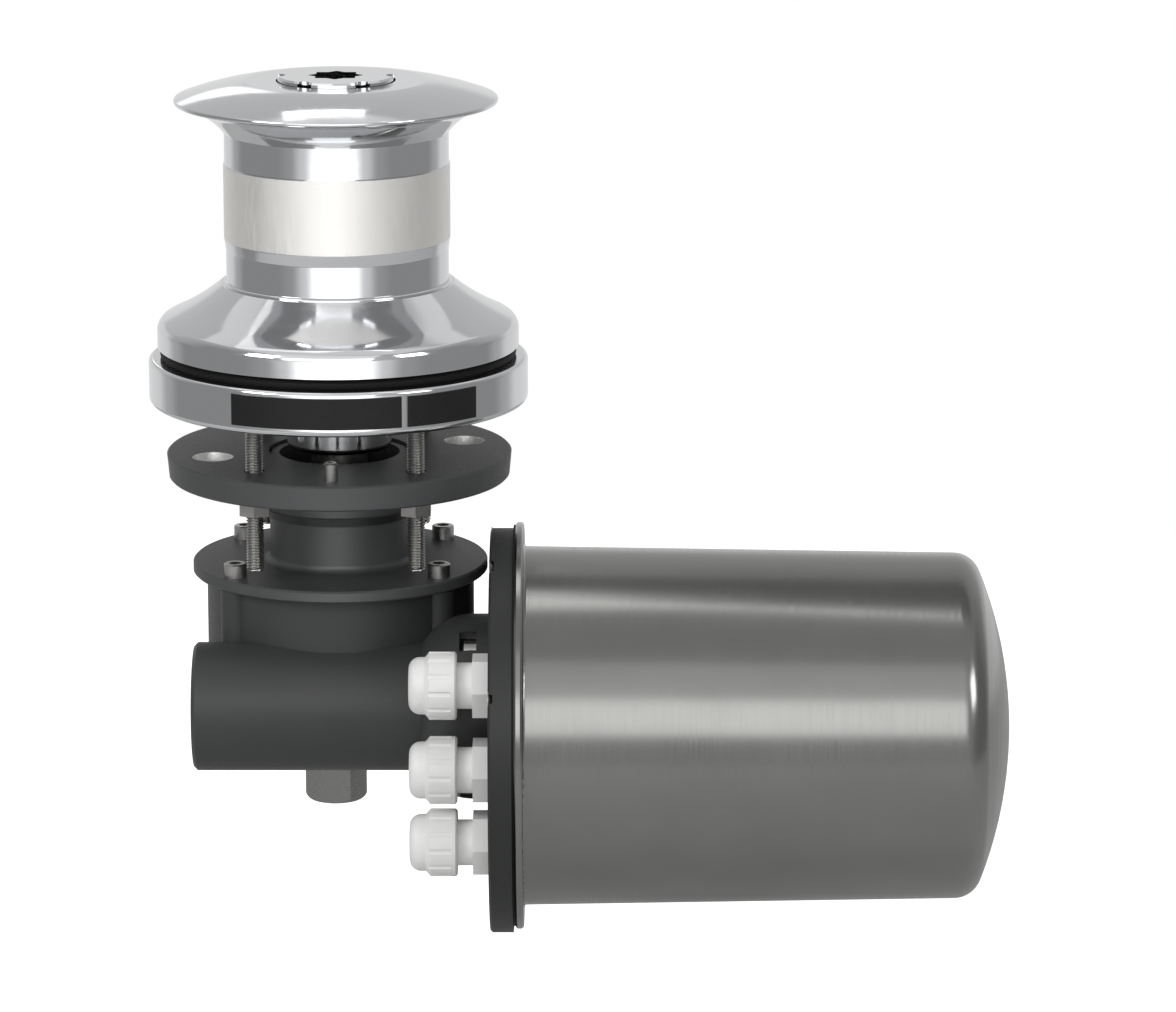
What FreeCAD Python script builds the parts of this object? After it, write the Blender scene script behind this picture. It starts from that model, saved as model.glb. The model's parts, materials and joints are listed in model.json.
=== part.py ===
"""Electric deck capstan: rope drum on a deck base, worm gearbox below the deck, motor in a steel can.

Frame: millimetres, +Z up along the drum axis, origin at the centre of the base's underside (deck top).
+X points from the drum axis to the motor, and -Y to the side that the worm runs on.
"""
import FreeCAD, Part
import math
import os
import re
import Sketcher

DRUM_SIZES = [
    ("drum_rim_r", 72.3), ("drum_rim_low_z", 133.6), ("drum_rim_edge", 1.8), ("drum_rim_nose_r", 1.2),
    ("drum_plateau_r", 40), ("drum_top_z", 143.0), ("drum_dome_r", 130), ("drum_flare_r", 34),
    ("barrel_upper_r", 49.6), ("barrel_band_r", 50.1), ("barrel_lower_r", 49.3),
    ("barrel_flare_z", 120.5), ("band_top_z", 106.3), ("band_low_z", 73.4), ("band_chamfer_z", 68.2),
    ("band_step", 0.5), ("foot_z", 54.6), ("foot_bead", 1.4), ("skirt_root_r", 51.9),
    ("skirt_cone_r", 110), ("skirt_shoulder_r", 77.4), ("skirt_shoulder_z", 37.4), ("skirt_r", 80.3),
    ("skirt_side_z", 33.0), ("skirt_corner_r", 6.5), ("skirt_low_z", 25.0), ("skirt_wall", 5.0),
    ("drum_wall", 6.5), ("drum_bore_r", 13.2), ("cone_slope", 0.3), ("cone_seat_gap", 0.05),
    ("low_cone_z", 66), ("low_cone_len", 20), ("low_cone_r", 34), ("top_cone_z", 118),
    ("top_cone_len", 16), ("top_cone_r", 26), ("cap_recess_z", 138.8),
]
CAP_SIZES = [
    ("cap_r", 25.8), ("cap_top_z", 145.2), ("cap_thick", 5.6), ("cap_gap", 0.6), ("cap_hub_r", 16.5),
    ("cap_hub_low_z", 109), ("cap_edge", 0.8), ("socket_square", 17.5), ("socket_depth", 20),
    ("notch_r", 3.6), ("notch_count", 6), ("cap_thread_r", 10.8), ("thread_gap", 0.05),
    ("spring_thick", 1.6),
]
SHAFT_SIZES = [
    ("shaft_r", 12.5), ("shaft_collar_r", 16.5), ("shaft_collar_z", 60), ("shaft_collar_len", 4),
    ("shaft_thread_end_z", 121), ("shaft_thread_z", 100), ("shaft_low_z", -157.5), ("running_gap", 0.05),
    ("key_wide", 8), ("key_tall", 7), ("key_len", 16), ("circlip_thick", 1.2), ("circlip_r", 15.4),
    ("circlip_groove", 0.8),
]
BASE_SIZES = [
    ("base_r", 84.3), ("base_tall", 20), ("base_top_fillet", 2.0), ("base_low_fillet", 2.6),
    ("base_wall", 13), ("base_floor", 8), ("base_hub_r", 22), ("base_hub_z", 57.6), ("spigot_r", 23.4),
    ("spigot_z", -21.8), ("spigot_fillet", 3), ("bush_r", 16), ("bush_len", 26), ("lip_seal_tall", 7),
    ("lip_seal_r", 18.5), ("washer_thick", 2.0), ("deck_seal_inset", 1.3), ("deck_seal_wide", 6),
    ("deck_seal_tall", 3.9), ("plate_low_z", 3.7), ("plate_tall", 13.7), ("plate_thick", 0.5),
    ("plate_bond", 0.05), ("plate_long_start", -30.8), ("plate_long_span", 52.0),
    ("plate_short_start", 23.0), ("plate_short_span", 24.3),
]
CLAMP_SIZES = [
    ("flange_r", 76.9), ("flange_top_z", -23.2), ("flange_thick", 11.4), ("flange_draft", 0.9),
    ("flange_hub_r", 37), ("flange_hub_len", 13), ("flange_edge", 0.8), ("flange_hole_r", 9),
    ("flange_hole_pitch_r", 58), ("flange_hole_angle", 17), ("stud_r", 4), ("stud_boss_r", 8.8),
    ("stud_boss_tall", 8), ("stud_pitch_r", 57.6), ("stud_angle", 52), ("stud_low_z", -68),
    ("stud_grip", 12), ("stud_hole_gap", 0.6), ("nut_af", 13), ("nut_tall", 6.5), ("clamp_washer_r", 7.6),
    ("clamp_washer_thick", 1.6), ("ring_thick", 3.6), ("ring_r", 34.6), ("lock_screw_r", 3),
    ("lock_screw_len", 17), ("lock_screw_out", 8), ("lock_screw_pitch_r", 64),
]
GEARBOX_SIZES = [
    ("neck_r", 31.5), ("neck_top_z", -24.4), ("neck_mouth_r", 27), ("neck_mouth_len", 12),
    ("neck_fit", 0.1), ("cover_r", 66), ("cover_top_z", -72.9), ("cover_thick", 5.3),
    ("cover_spigot_len", 3), ("cover_edge", 0.8), ("gasket_thick", 0.5), ("cover_bolt_pitch_r", 58),
    ("cover_bolt_angle", 39), ("cover_bolt_r", 3), ("cover_bolt_head_r", 5), ("cover_bolt_head_tall", 6),
    ("cover_bolt_len", 18), ("bolt_hole_gap", 0.3), ("boss_r", 6.6), ("boss_strip_z", -140),
    ("house_r", 59.8), ("house_low_z", -152), ("chamber_r", 53), ("chamber_low_z", -146),
    ("boss_low_r", 27), ("boss_low_z", -162.6), ("tube_r", 28.4), ("tube_left_x", -63),
    ("bell_start_x", 38), ("bell_r", 41), ("bell_full_x", 60), ("bell_face_x", 68.2),
    ("bell_curve_r", 26), ("tube_edge", 1.6), ("worm_bore_r", 15.5), ("bell_flange", 6),
    ("bell_bolt_pitch_r", 33.5), ("bell_bolt_angle", 60), ("bell_bolt_r", 3), ("bell_bolt_head_r", 5),
    ("bell_bolt_head_tall", 6), ("bell_bolt_len", 23), ("bell_pocket_r", 6), ("bell_pocket_len", 7.5),
    ("plug_af", 24), ("plug_x", -3), ("plug_tall", 20.9), ("plug_thread_r", 8),
    ("plug_washer_thick", 1.5), ("plug_washer_r", 14.5), ("plug_edge", 2.2), ("plug_thread_len", 4.4),
]
GEAR_SIZES = [
    ("gear_module", 2.5), ("wheel_teeth", 32), ("worm_pitch_r", 10), ("flank_gap", 0.36),
    ("tooth_root_gap", 0.6), ("wheel_face", 16), ("wheel_hub_r", 24), ("wheel_hub_len", 26),
    ("worm_z", -128.8), ("worm_turns", 4.5), ("worm_shaft_r", 10), ("worm_seat_x", 45),
    ("worm_end_x", 72), ("worm_end_r", 7), ("worm_seal_len", 5), ("end_plug_thick", 3),
]
BEARING_SIZES = [
    ("main_bearing_r", 23.5), ("main_bearing_wide", 12), ("main_ball_r", 4), ("main_ball_count", 9),
    ("worm_bearing_r", 21), ("worm_bearing_wide", 12), ("worm_ball_r", 3.6), ("worm_ball_count", 8),
    ("motor_bearing_r", 17.5), ("motor_bearing_wide", 11), ("motor_ball_r", 3), ("motor_ball_count", 8),
    ("race_gap", 0.06), ("race_shoulder", 0.42),
]
MOTOR_SIZES = [
    ("plate_y", -58), ("plate_z", -137.5), ("plate_r", 89.2), ("plate_wide", 10.15), ("plate_bore_r", 22),
    ("gasket_wide", 1.0), ("can_z", -135.3), ("can_rim_r", 89.7), ("can_rim_wide", 3.5), ("can_r", 79.1),
    ("can_end_r", 76.3), ("can_knuckle_r", 12), ("can_dome_r", 185), ("can_len", 217.2),
    ("can_wall", 1.5), ("can_foot_r", 1.4), ("can_screw_r", 2.5), ("can_screw_head_r", 4.6),
    ("can_screw_pitch_r", 84), ("can_screw_count", 8), ("motor_shaft_r", 7.5), ("coupling_r", 13.5),
    ("coupling_gap_x", 75), ("coupling_start_x", 65.4), ("coupling_end_x", 88), ("front_foot_r", 41),
    ("front_foot_len", 14), ("front_bell_r", 58), ("front_bell_wide", 7), ("front_hub_r", 24),
    ("front_bearing_x", 91), ("yoke_r", 58), ("yoke_wall", 6), ("yoke_len", 129), ("magnet_thick", 7),
    ("magnet_start", 13), ("magnet_len", 100), ("magnet_span", 68), ("core_r", 43.8),
    ("core_start_x", 117), ("core_len", 81), ("slot_count", 16), ("slot_r", 3.2), ("winding_len", 7.5),
    ("winding_r", 38), ("winding_bore_r", 16), ("commutator_r", 19), ("commutator_x", 208),
    ("commutator_len", 17), ("segment_count", 16), ("segment_gap", 0.8), ("brush_wide", 9),
    ("brush_thick", 7), ("brush_long", 15), ("brush_gap", 0.3), ("holder_wall", 2), ("rear_bell_wide", 7),
    ("rear_hub_r", 23), ("rear_bearing_x", 240), ("tie_bolt_r", 2.5), ("tie_bolt_pitch_r", 48.4),
    ("tie_head_r", 4.5), ("tie_head_tall", 4), ("relay_r", 16), ("relay_len", 26), ("relay_y", -44),
    ("relay_z", 22), ("relay_start_x", 250), ("relay_lug_r", 3), ("relay_lug_len", 7),
    ("relay_pitch", 16),
]
GLAND_SIZES = [
    ("gland_y", -108), ("gland_top_z", -103.9), ("gland_mid_z", -141.7), ("gland_low_z", -174.3),
    ("gland_thread_r", 10), ("gland_thread_gap", 0.2), ("gland_flange_af", 25), ("gland_flange_len", 7),
    ("gland_neck_len", 6.6), ("gland_cap_r", 14.75), ("gland_cap_len", 13), ("gland_nose_r", 12.4),
    ("gland_nose_len", 7.8), ("gland_nose_curve_r", 5), ("gland_bore_r", 6.5), ("gland_wall", 2.2),
    ("gland_rib_count", 12), ("gland_rib_r", 1.5), ("gland_seal_wall", 1.6), ("gland_nut_af", 24),
    ("gland_nut_len", 5), ("gland_gap", 0.15),
]
DERIVED_SIZES = [
    ("flange_low_z", "flange_top_z - flange_thick"), ("cover_low_z", "cover_top_z - cover_thick"),
    ("house_top_z", "cover_low_z - gasket_thick"), ("wheel_pitch_r", "gear_module * wheel_teeth / 2"),
    ("worm_y", "-(wheel_pitch_r + worm_pitch_r)"), ("worm_pitch", "gear_module * pi"),
    ("worm_lead_angle", "atan(worm_pitch / (2 * pi * worm_pitch_r)) / 1deg"),
    ("worm_tip_r", "worm_pitch_r + gear_module"), ("wheel_tip_r", "wheel_pitch_r + gear_module"),
    ("wheel_root_r", "wheel_pitch_r - gear_module - tooth_root_gap"), ("tooth_half", "worm_pitch / 4"),
    ("plate_face_x", "bell_face_x + plate_wide"), ("can_face_x", "plate_face_x + gasket_wide"),
    ("front_face_x", "plate_face_x"), ("front_disc_x", "front_face_x + front_foot_len"),
    ("yoke_start_x", "front_disc_x + front_bell_wide"), ("rear_face_x", "yoke_start_x + yoke_len"),
    ("cap_low_z", "cap_top_z - cap_thick"), ("deck_seal_r", "skirt_r - deck_seal_inset"),
    ("main_race_mid", "(shaft_r + main_bearing_r) / 2"),
    ("worm_race_mid", "(worm_shaft_r + worm_bearing_r) / 2"),
    ("motor_race_mid", "(motor_shaft_r + motor_bearing_r) / 2"), ("upper_bearing_z", "cover_low_z + 1.5"),
    ("lower_bearing_z", "chamber_low_z - main_bearing_wide"),
    ("stud_x", "stud_pitch_r * cos(stud_angle * 1deg)"),
    ("stud_y", "stud_pitch_r * sin(stud_angle * 1deg)"),
    ("bolt_x", "cover_bolt_pitch_r * cos(cover_bolt_angle * 1deg)"),
    ("bolt_y", "cover_bolt_pitch_r * sin(cover_bolt_angle * 1deg)"),
    ("bell_bolt_y", "bell_bolt_pitch_r * cos(bell_bolt_angle * 1deg)"),
    ("bell_bolt_z", "bell_bolt_pitch_r * sin(bell_bolt_angle * 1deg)"),
    ("tie_bolt_side", "tie_bolt_pitch_r * sqrt(0.5)"),
    ("can_dome_edge_r", "(can_end_r - can_knuckle_r) / (1 - can_knuckle_r / can_dome_r)"),
    ("can_dome_rise", "sqrt(can_dome_r * can_dome_r - can_dome_edge_r * can_dome_edge_r)"),
    ("can_dome_edge_z", "can_len - can_dome_r + can_dome_rise"),
    ("can_knuckle_z", "can_dome_edge_z - can_knuckle_r * sqrt(1 - pow(can_dome_edge_r / can_dome_r; 2))"),
    ("can_inner_edge_r", "can_dome_edge_r * (1 - can_wall / can_dome_r)"),
    ("can_inner_edge_z", "can_dome_edge_z - can_wall * sqrt(1 - pow(can_dome_edge_r / can_dome_r; 2))"),
]

doc = FreeCAD.newDocument("deck_capstan")
sheet = doc.addObject("Spreadsheet::Sheet", "sizes")
SIZE_NAMES = set()


def write_sizes(sizes, column):
    """Puts one group of sizes in a column of the sheet, names to the left of the aliased values."""
    for row, (name, value) in enumerate(sizes, start=1):
        label_cell = "%s%d" % (column[0], row)
        value_cell = "%s%d" % (column[1], row)
        sheet.set(label_cell, "'" + name)
        sheet.set(value_cell, "=" + value if isinstance(value, str) else str(value))
        sheet.setAlias(value_cell, name)
        SIZE_NAMES.add(name)


SIZE_GROUPS = [DRUM_SIZES, CAP_SIZES, SHAFT_SIZES, BASE_SIZES, CLAMP_SIZES, GEARBOX_SIZES,
               GEAR_SIZES, BEARING_SIZES, MOTOR_SIZES, GLAND_SIZES, DERIVED_SIZES]
COLUMN_PAIRS = ["AB", "CD", "EF", "GH", "IJ", "KL", "MN", "OP", "QR", "ST", "UV"]
for group, pair in zip(SIZE_GROUPS, COLUMN_PAIRS):
    write_sizes(group, pair)
doc.recompute()


def number(expression):
    """The present value of an expression written with the sheet's names."""
    value = sheet.evalExpression(str(expression))
    return float(getattr(value, "Value", value))


def linked(expression):
    """The same expression with every name pointing at the sheet, for use by another object."""
    def point_at_sheet(match):
        word = match.group(0)
        return "sizes." + word if word in SIZE_NAMES else word
    return re.sub(r"[a-z_][a-z0-9_]*", point_at_sheet, str(expression))


def bind(thing, path, expression):
    thing.setExpression(path, linked(expression))


# ---------------------------------------------------------------- sketches and features

NODES = []


def new_body(label, node=True):
    body = doc.addObject("PartDesign::Body", label)
    body.Label = label
    if node:
        NODES.append(body)
    return body


def origin_part(body, role):
    return [part for part in body.Origin.OriginFeatures if part.Role == role][0]


def new_sketch(body, name, role="XZ_Plane", level="0"):
    sketch = body.newObject("Sketcher::SketchObject", name)
    sketch.AttachmentSupport = [(origin_part(body, role), "")]
    sketch.MapMode = "FlatFace"
    bind(sketch, "AttachmentOffset.Base.z", level)
    return sketch


def pin_point(sketch, geometry, position, x, y):
    """Holds one point of the sketch at a place given by two expressions."""
    for kind, expression in (("DistanceX", x), ("DistanceY", y)):
        index = sketch.addConstraint(Sketcher.Constraint(kind, -1, 1, geometry, position,
                                                         number(expression)))
        bind(sketch, "Constraints[%d]" % index, expression)


def arc_between(start, end, radius, side):
    """An arc from start to end; side 1 has its centre to the left of the way travelled, -1 to the right."""
    chord = end - start
    reach = math.sqrt(max(radius ** 2 - chord.Length ** 2 / 4, 0.0))
    left = FreeCAD.Vector(-chord.y, chord.x, 0).normalize()
    centre = (start + end) * 0.5 + left * (reach * side)
    first, last = (start, end) if side > 0 else (end, start)
    first_angle = math.atan2(first.y - centre.y, first.x - centre.x)
    last_angle = math.atan2(last.y - centre.y, last.x - centre.x)
    if last_angle < first_angle:
        last_angle += 2 * math.pi
    circle = Part.Circle(centre, FreeCAD.Vector(0, 0, 1), radius)
    return Part.ArcOfCircle(circle, first_angle, last_angle)


def add_outline(sketch, corners):
    """A closed outline. A corner is (x, y), or (x, y, radius, side) where an arc runs to the next one."""
    places = [FreeCAD.Vector(number(corner[0]), number(corner[1]), 0) for corner in corners]
    runs = []
    for index, corner in enumerate(corners):
        start = places[index]
        end = places[(index + 1) % len(corners)]
        if len(corner) == 4:
            curve = arc_between(start, end, number(corner[2]), corner[3])
            ends = (1, 2) if corner[3] > 0 else (2, 1)
        else:
            curve = Part.LineSegment(start, end)
            ends = (1, 2)
        runs.append((sketch.addGeometry(curve), ends))
    for index, (geometry, ends) in enumerate(runs):
        following, following_ends = runs[(index + 1) % len(runs)]
        sketch.addConstraint(Sketcher.Constraint("Coincident", geometry, ends[1], following,
                                                 following_ends[0]))
    for (geometry, ends), corner in zip(runs, corners):
        pin_point(sketch, geometry, ends[0], corner[0], corner[1])
        if len(corner) == 4:
            size = Sketcher.Constraint("Radius", geometry, number(corner[2]))
            bind(sketch, "Constraints[%d]" % sketch.addConstraint(size), corner[2])


def add_circle(sketch, x, y, radius):
    place = FreeCAD.Vector(number(x), number(y), 0)
    geometry = sketch.addGeometry(Part.Circle(place, FreeCAD.Vector(0, 0, 1), number(radius)))
    pin_point(sketch, geometry, 3, x, y)
    index = sketch.addConstraint(Sketcher.Constraint("Radius", geometry, number(radius)))
    bind(sketch, "Constraints[%d]" % index, radius)


def hexagon(across_flats, x="0", y="0"):
    """The six corners of a hexagon with two flats square to the sketch's own x axis."""
    half = "(%s) / 2" % across_flats
    point = "(%s) / sqrt(3)" % across_flats
    turns = [(half, "-(%s) / 2" % point), (half, "(%s) / 2" % point), ("0", point),
             ("-" + half, "(%s) / 2" % point), ("-" + half, "-(%s) / 2" % point), ("0", "-" + point)]
    return [("%s + %s" % (x, dx), "%s + %s" % (y, dy)) for dx, dy in turns]


def square(side, x="0", y="0", wide=None):
    """The four corners of a square, or of a rectangle where its second side is given."""
    half_x = "(%s) / 2" % side
    half_y = "(%s) / 2" % (wide or side)
    return [("%s - %s" % (x, half_x), "%s - %s" % (y, half_y)),
            ("%s + %s" % (x, half_x), "%s - %s" % (y, half_y)),
            ("%s + %s" % (x, half_x), "%s + %s" % (y, half_y)),
            ("%s - %s" % (x, half_x), "%s + %s" % (y, half_y))]


def ring_outline(inner, outer, low, high):
    return [(inner, low), (outer, low), (outer, high), (inner, high)]


def turn(body, name, outline, cut=False, angle="360", role="XZ_Plane", level="0", axis="V_Axis"):
    """Adds or cuts the shape that the outline sweeps about an axis of its own sketch."""
    sketch = new_sketch(body, name + "_outline", role, level)
    add_outline(sketch, outline)
    feature = body.newObject("PartDesign::Groove" if cut else "PartDesign::Revolution", name)
    feature.Profile = sketch
    feature.ReferenceAxis = (sketch, [axis])
    bind(feature, "Angle", angle)
    doc.recompute()
    return feature


def pull(body, name, outlines, level, length, cut=False, role="XY_Plane", reverse=False, circles=()):
    """Pads or pockets outlines and circles (x, y, radius) from a level of one origin plane.

    A pad goes with the plane's own direction and a pocket against it, unless reversed.
    """
    sketch = new_sketch(body, name + "_outline", role, level)
    for outline in outlines:
        add_outline(sketch, outline)
    for circle in circles:
        add_circle(sketch, *circle)
    feature = body.newObject("PartDesign::Pocket" if cut else "PartDesign::Pad", name)
    feature.Profile = sketch
    feature.Reversed = reverse
    bind(feature, "Length", length)
    doc.recompute()
    return feature


def repeat(body, name, features, count, role="Z_Axis", angle="360"):
    pattern = body.newObject("PartDesign::PolarPattern", name)
    pattern.Originals = features
    pattern.Axis = (origin_part(body, role), [""])
    bind(pattern, "Angle", angle)
    bind(pattern, "Occurrences", count)
    body.Tip = pattern
    doc.recompute()
    return pattern


TURNS = {
    "+Z": FreeCAD.Rotation(),
    "-Z": FreeCAD.Rotation(FreeCAD.Vector(1, 0, 0), 180),
    "+X": FreeCAD.Rotation(FreeCAD.Vector(0, 1, 0), 90),
    "-X": FreeCAD.Rotation(FreeCAD.Vector(0, 1, 0), -90),
}


def place(thing, x="0", y="0", z="0", along="+Z"):
    """Puts a piece's own origin at a place of the part, with its own Z along the direction named."""
    thing.Placement = FreeCAD.Placement(FreeCAD.Vector(0, 0, 0), TURNS[along])
    for letter, expression in (("x", x), ("y", y), ("z", z)):
        bind(thing, "Placement.Base." + letter, expression)
    return thing


def turned(label, outline, x="0", y="0", z="0", along="+Z", node=True):
    body = new_body(label, node)
    turn(body, label + "_turned", outline)
    return place(body, x, y, z, along)


def copy_of(master, x="0", y="0", z="0", along="+Z"):
    link = doc.addObject("App::Link", master.Name + "_copy")
    link.LinkedObject = master
    return place(link, x, y, z, along)


def copies(label, master, places, along="+Z"):
    """One node with a copy of the master piece at each place, as separate solids."""
    return join(label, [copy_of(master, x, y, z, along) for x, y, z in places])


def join(label, links):
    """One node of several separate solids."""
    group = doc.addObject("Part::Compound", label)
    group.Label = label
    group.Links = links
    NODES.append(group)
    return group


def corners_of(x, y, z):
    """Four places at plus and minus x and y."""
    return [(sx + "(%s)" % x, sy + "(%s)" % y, z) for sx in ("", "-") for sy in ("", "-")]


def circles_at(x, y, radius):
    """Four equal circles at plus and minus x and y, for a pad or a pocket."""
    return corners_of(x, y, radius)


# ---------------------------------------------------------------- drum, clutch and shaft

def make_drum():
    low_cone_top = "low_cone_z + low_cone_len"
    top_cone_top = "top_cone_z + top_cone_len"
    outline = [
        ("skirt_r - skirt_wall", "skirt_low_z"),
        ("skirt_r", "skirt_low_z"),
        ("skirt_r", "skirt_side_z", "skirt_corner_r", 1),
        ("skirt_shoulder_r", "skirt_shoulder_z", "skirt_cone_r", -1),
        ("skirt_root_r", "foot_z - foot_bead"),
        ("barrel_lower_r + foot_bead", "foot_z - foot_bead", "foot_bead", 1),
        ("barrel_lower_r", "foot_z"),
        ("barrel_lower_r", "band_chamfer_z"),
        ("barrel_band_r", "band_low_z"),
        ("barrel_band_r", "band_top_z"),
        ("barrel_upper_r", "band_top_z + band_step"),
        ("barrel_upper_r", "barrel_flare_z", "drum_flare_r", -1),
        ("drum_rim_r - drum_rim_nose_r", "drum_rim_low_z", "drum_rim_nose_r", 1),
        ("drum_rim_r - drum_rim_nose_r", "drum_rim_low_z + drum_rim_edge", "drum_dome_r", 1),
        ("drum_plateau_r", "drum_top_z"),
        ("cap_r + cap_gap", "drum_top_z"),
        ("cap_r + cap_gap", "cap_recess_z"),
        ("top_cone_r + cone_slope * top_cone_len", "cap_recess_z"),
        ("top_cone_r + cone_slope * top_cone_len", top_cone_top),
        ("top_cone_r", "top_cone_z"),
        ("cap_hub_r + cap_gap", "top_cone_z"),
        ("cap_hub_r + cap_gap", "cap_hub_low_z - cap_gap * 2"),
        ("drum_bore_r", "cap_hub_low_z - cap_gap * 2"),
        ("drum_bore_r", low_cone_top),
        ("low_cone_r - cone_slope * low_cone_len", low_cone_top),
        ("low_cone_r", "low_cone_z"),
        ("barrel_lower_r - drum_wall", "low_cone_z"),
        ("barrel_lower_r - drum_wall", "foot_z - drum_wall"),
        ("skirt_r - skirt_wall", "skirt_side_z"),
    ]
    return turned("rope_drum", outline)


def make_cones():
    bore = "shaft_r + running_gap"
    low = turned("lower_clutch_cone", [
        (bore, "0"), ("low_cone_r - cone_seat_gap", "0"),
        ("low_cone_r - cone_slope * low_cone_len - cone_seat_gap", "low_cone_len - cone_seat_gap"),
        (bore, "low_cone_len - cone_seat_gap")], z="low_cone_z")
    cut_keyway(low, "low_cone_len", "0")
    turned("upper_clutch_cone", [
        ("cap_hub_r + cap_gap", "cone_seat_gap"), ("top_cone_r - cone_seat_gap", "cone_seat_gap"),
        ("top_cone_r + cone_slope * top_cone_len - cone_seat_gap", "top_cone_len"),
        ("cap_hub_r + cap_gap", "top_cone_len")], z="top_cone_z")
    spring_top = "cap_low_z - top_cone_z - top_cone_len - race_gap"
    turned("clutch_disc_spring", [
        ("cap_hub_r + cap_gap", spring_top + " - spring_thick"),
        ("cap_r - cap_edge * 2", "0"),
        ("cap_r - cap_edge * 2", "spring_thick"),
        ("cap_hub_r + cap_gap", spring_top)], z="top_cone_z + top_cone_len")


def cut_keyway(body, length, start):
    """A keyway of the common key width, cut along the piece's own axis at its +X side."""
    side = "(key_wide / 2 + running_gap)"
    low = "shaft_r - key_tall / 2"
    high = "shaft_r + key_tall / 2"
    outline = [(low, "-" + side), (high, "-" + side), (high, side), (low, side)]
    pull(body, body.Name + "_keyway", [outline], start, length, cut=True, reverse=True)


KEY_STARTS = ["low_cone_z + (low_cone_len - key_len) / 2", "worm_z - key_len / 2"]


def make_keys():
    body = new_body("key_pattern", node=False)
    low = "shaft_r - key_tall / 2"
    outline = [(low, "-key_wide / 2"), ("shaft_r + key_tall / 2 - running_gap", "-key_wide / 2"),
               ("shaft_r + key_tall / 2 - running_gap", "key_wide / 2"), (low, "key_wide / 2")]
    pull(body, "key_bar", [outline], "0", "key_len")
    copies("shaft_keys", body, [("0", "0", start) for start in KEY_STARTS])


def make_cap():
    """The clutch nut: a notched cap that a winch handle turns, threaded on the top of the shaft."""
    body = new_body("clutch_nut")
    hub_bore = "cap_thread_r + thread_gap"
    turn(body, "nut_turned", [
        (hub_bore, "cap_hub_low_z"), ("cap_hub_r", "cap_hub_low_z"), ("cap_hub_r", "cap_low_z"),
        ("cap_r - cap_edge", "cap_low_z"), ("cap_r", "cap_low_z + cap_edge"),
        ("cap_r", "cap_top_z - cap_edge"),
        ("cap_r - cap_edge", "cap_top_z"), ("0", "cap_top_z"), ("0", "cap_top_z - socket_depth"),
        (hub_bore, "cap_top_z - socket_depth")])
    pull(body, "handle_socket", [square("socket_square")], "cap_top_z", "socket_depth", cut=True)
    half_diagonal = "socket_square * sqrt(0.5)"
    diamond = [(half_diagonal, "0"), ("0", half_diagonal), ("-" + half_diagonal, "0"),
               ("0", "-" + half_diagonal)]
    pull(body, "handle_socket_turned", [diamond], "cap_top_z", "socket_depth", cut=True)
    notch = pull(body, "notch", [], "cap_top_z", "cap_thick", cut=True, circles=[("cap_r", "0", "notch_r")])
    repeat(body, "notches", [notch], "notch_count")


def make_shaft():
    body = new_body("main_shaft")
    groove_r = "shaft_r - circlip_groove"
    clip_z = "worm_z - wheel_hub_len / 2 - circlip_thick - race_gap"
    turn(body, "shaft_turned", [
        ("0", "shaft_low_z"), ("shaft_r", "shaft_low_z"), ("shaft_r", clip_z), (groove_r, clip_z),
        (groove_r, clip_z + " + circlip_thick"), ("shaft_r", clip_z + " + circlip_thick"),
        ("shaft_r", "shaft_collar_z"), ("shaft_collar_r", "shaft_collar_z"),
        ("shaft_collar_r", "shaft_collar_z + shaft_collar_len"),
        ("shaft_r", "shaft_collar_z + shaft_collar_len"),
        ("shaft_r", "shaft_thread_z"), ("cap_thread_r", "shaft_thread_z"),
        ("cap_thread_r", "shaft_thread_end_z"), ("0", "shaft_thread_end_z")])
    for name, start in zip(("clutch_slot", "wheel_slot"), KEY_STARTS):
        outline = [("shaft_r - key_tall / 2 - running_gap", "-(key_wide / 2 + running_gap)"),
                   ("shaft_r + 1", "-(key_wide / 2 + running_gap)"),
                   ("shaft_r + 1", "key_wide / 2 + running_gap"),
                   ("shaft_r - key_tall / 2 - running_gap", "key_wide / 2 + running_gap")]
        pull(body, name, [outline], start + " - running_gap", "key_len + 2 * running_gap", cut=True,
             reverse=True)


def make_drive_train():
    make_drum()
    make_cones()
    make_cap()
    make_shaft()
    make_keys()
    clip_low = "worm_z - wheel_hub_len / 2 - circlip_thick - race_gap"
    turned("wheel_circlip", ring_outline("shaft_r - circlip_groove + running_gap", "circlip_r", "0",
                                         "circlip_thick"),
           z=clip_low)


# ---------------------------------------------------------------- deck base

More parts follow.
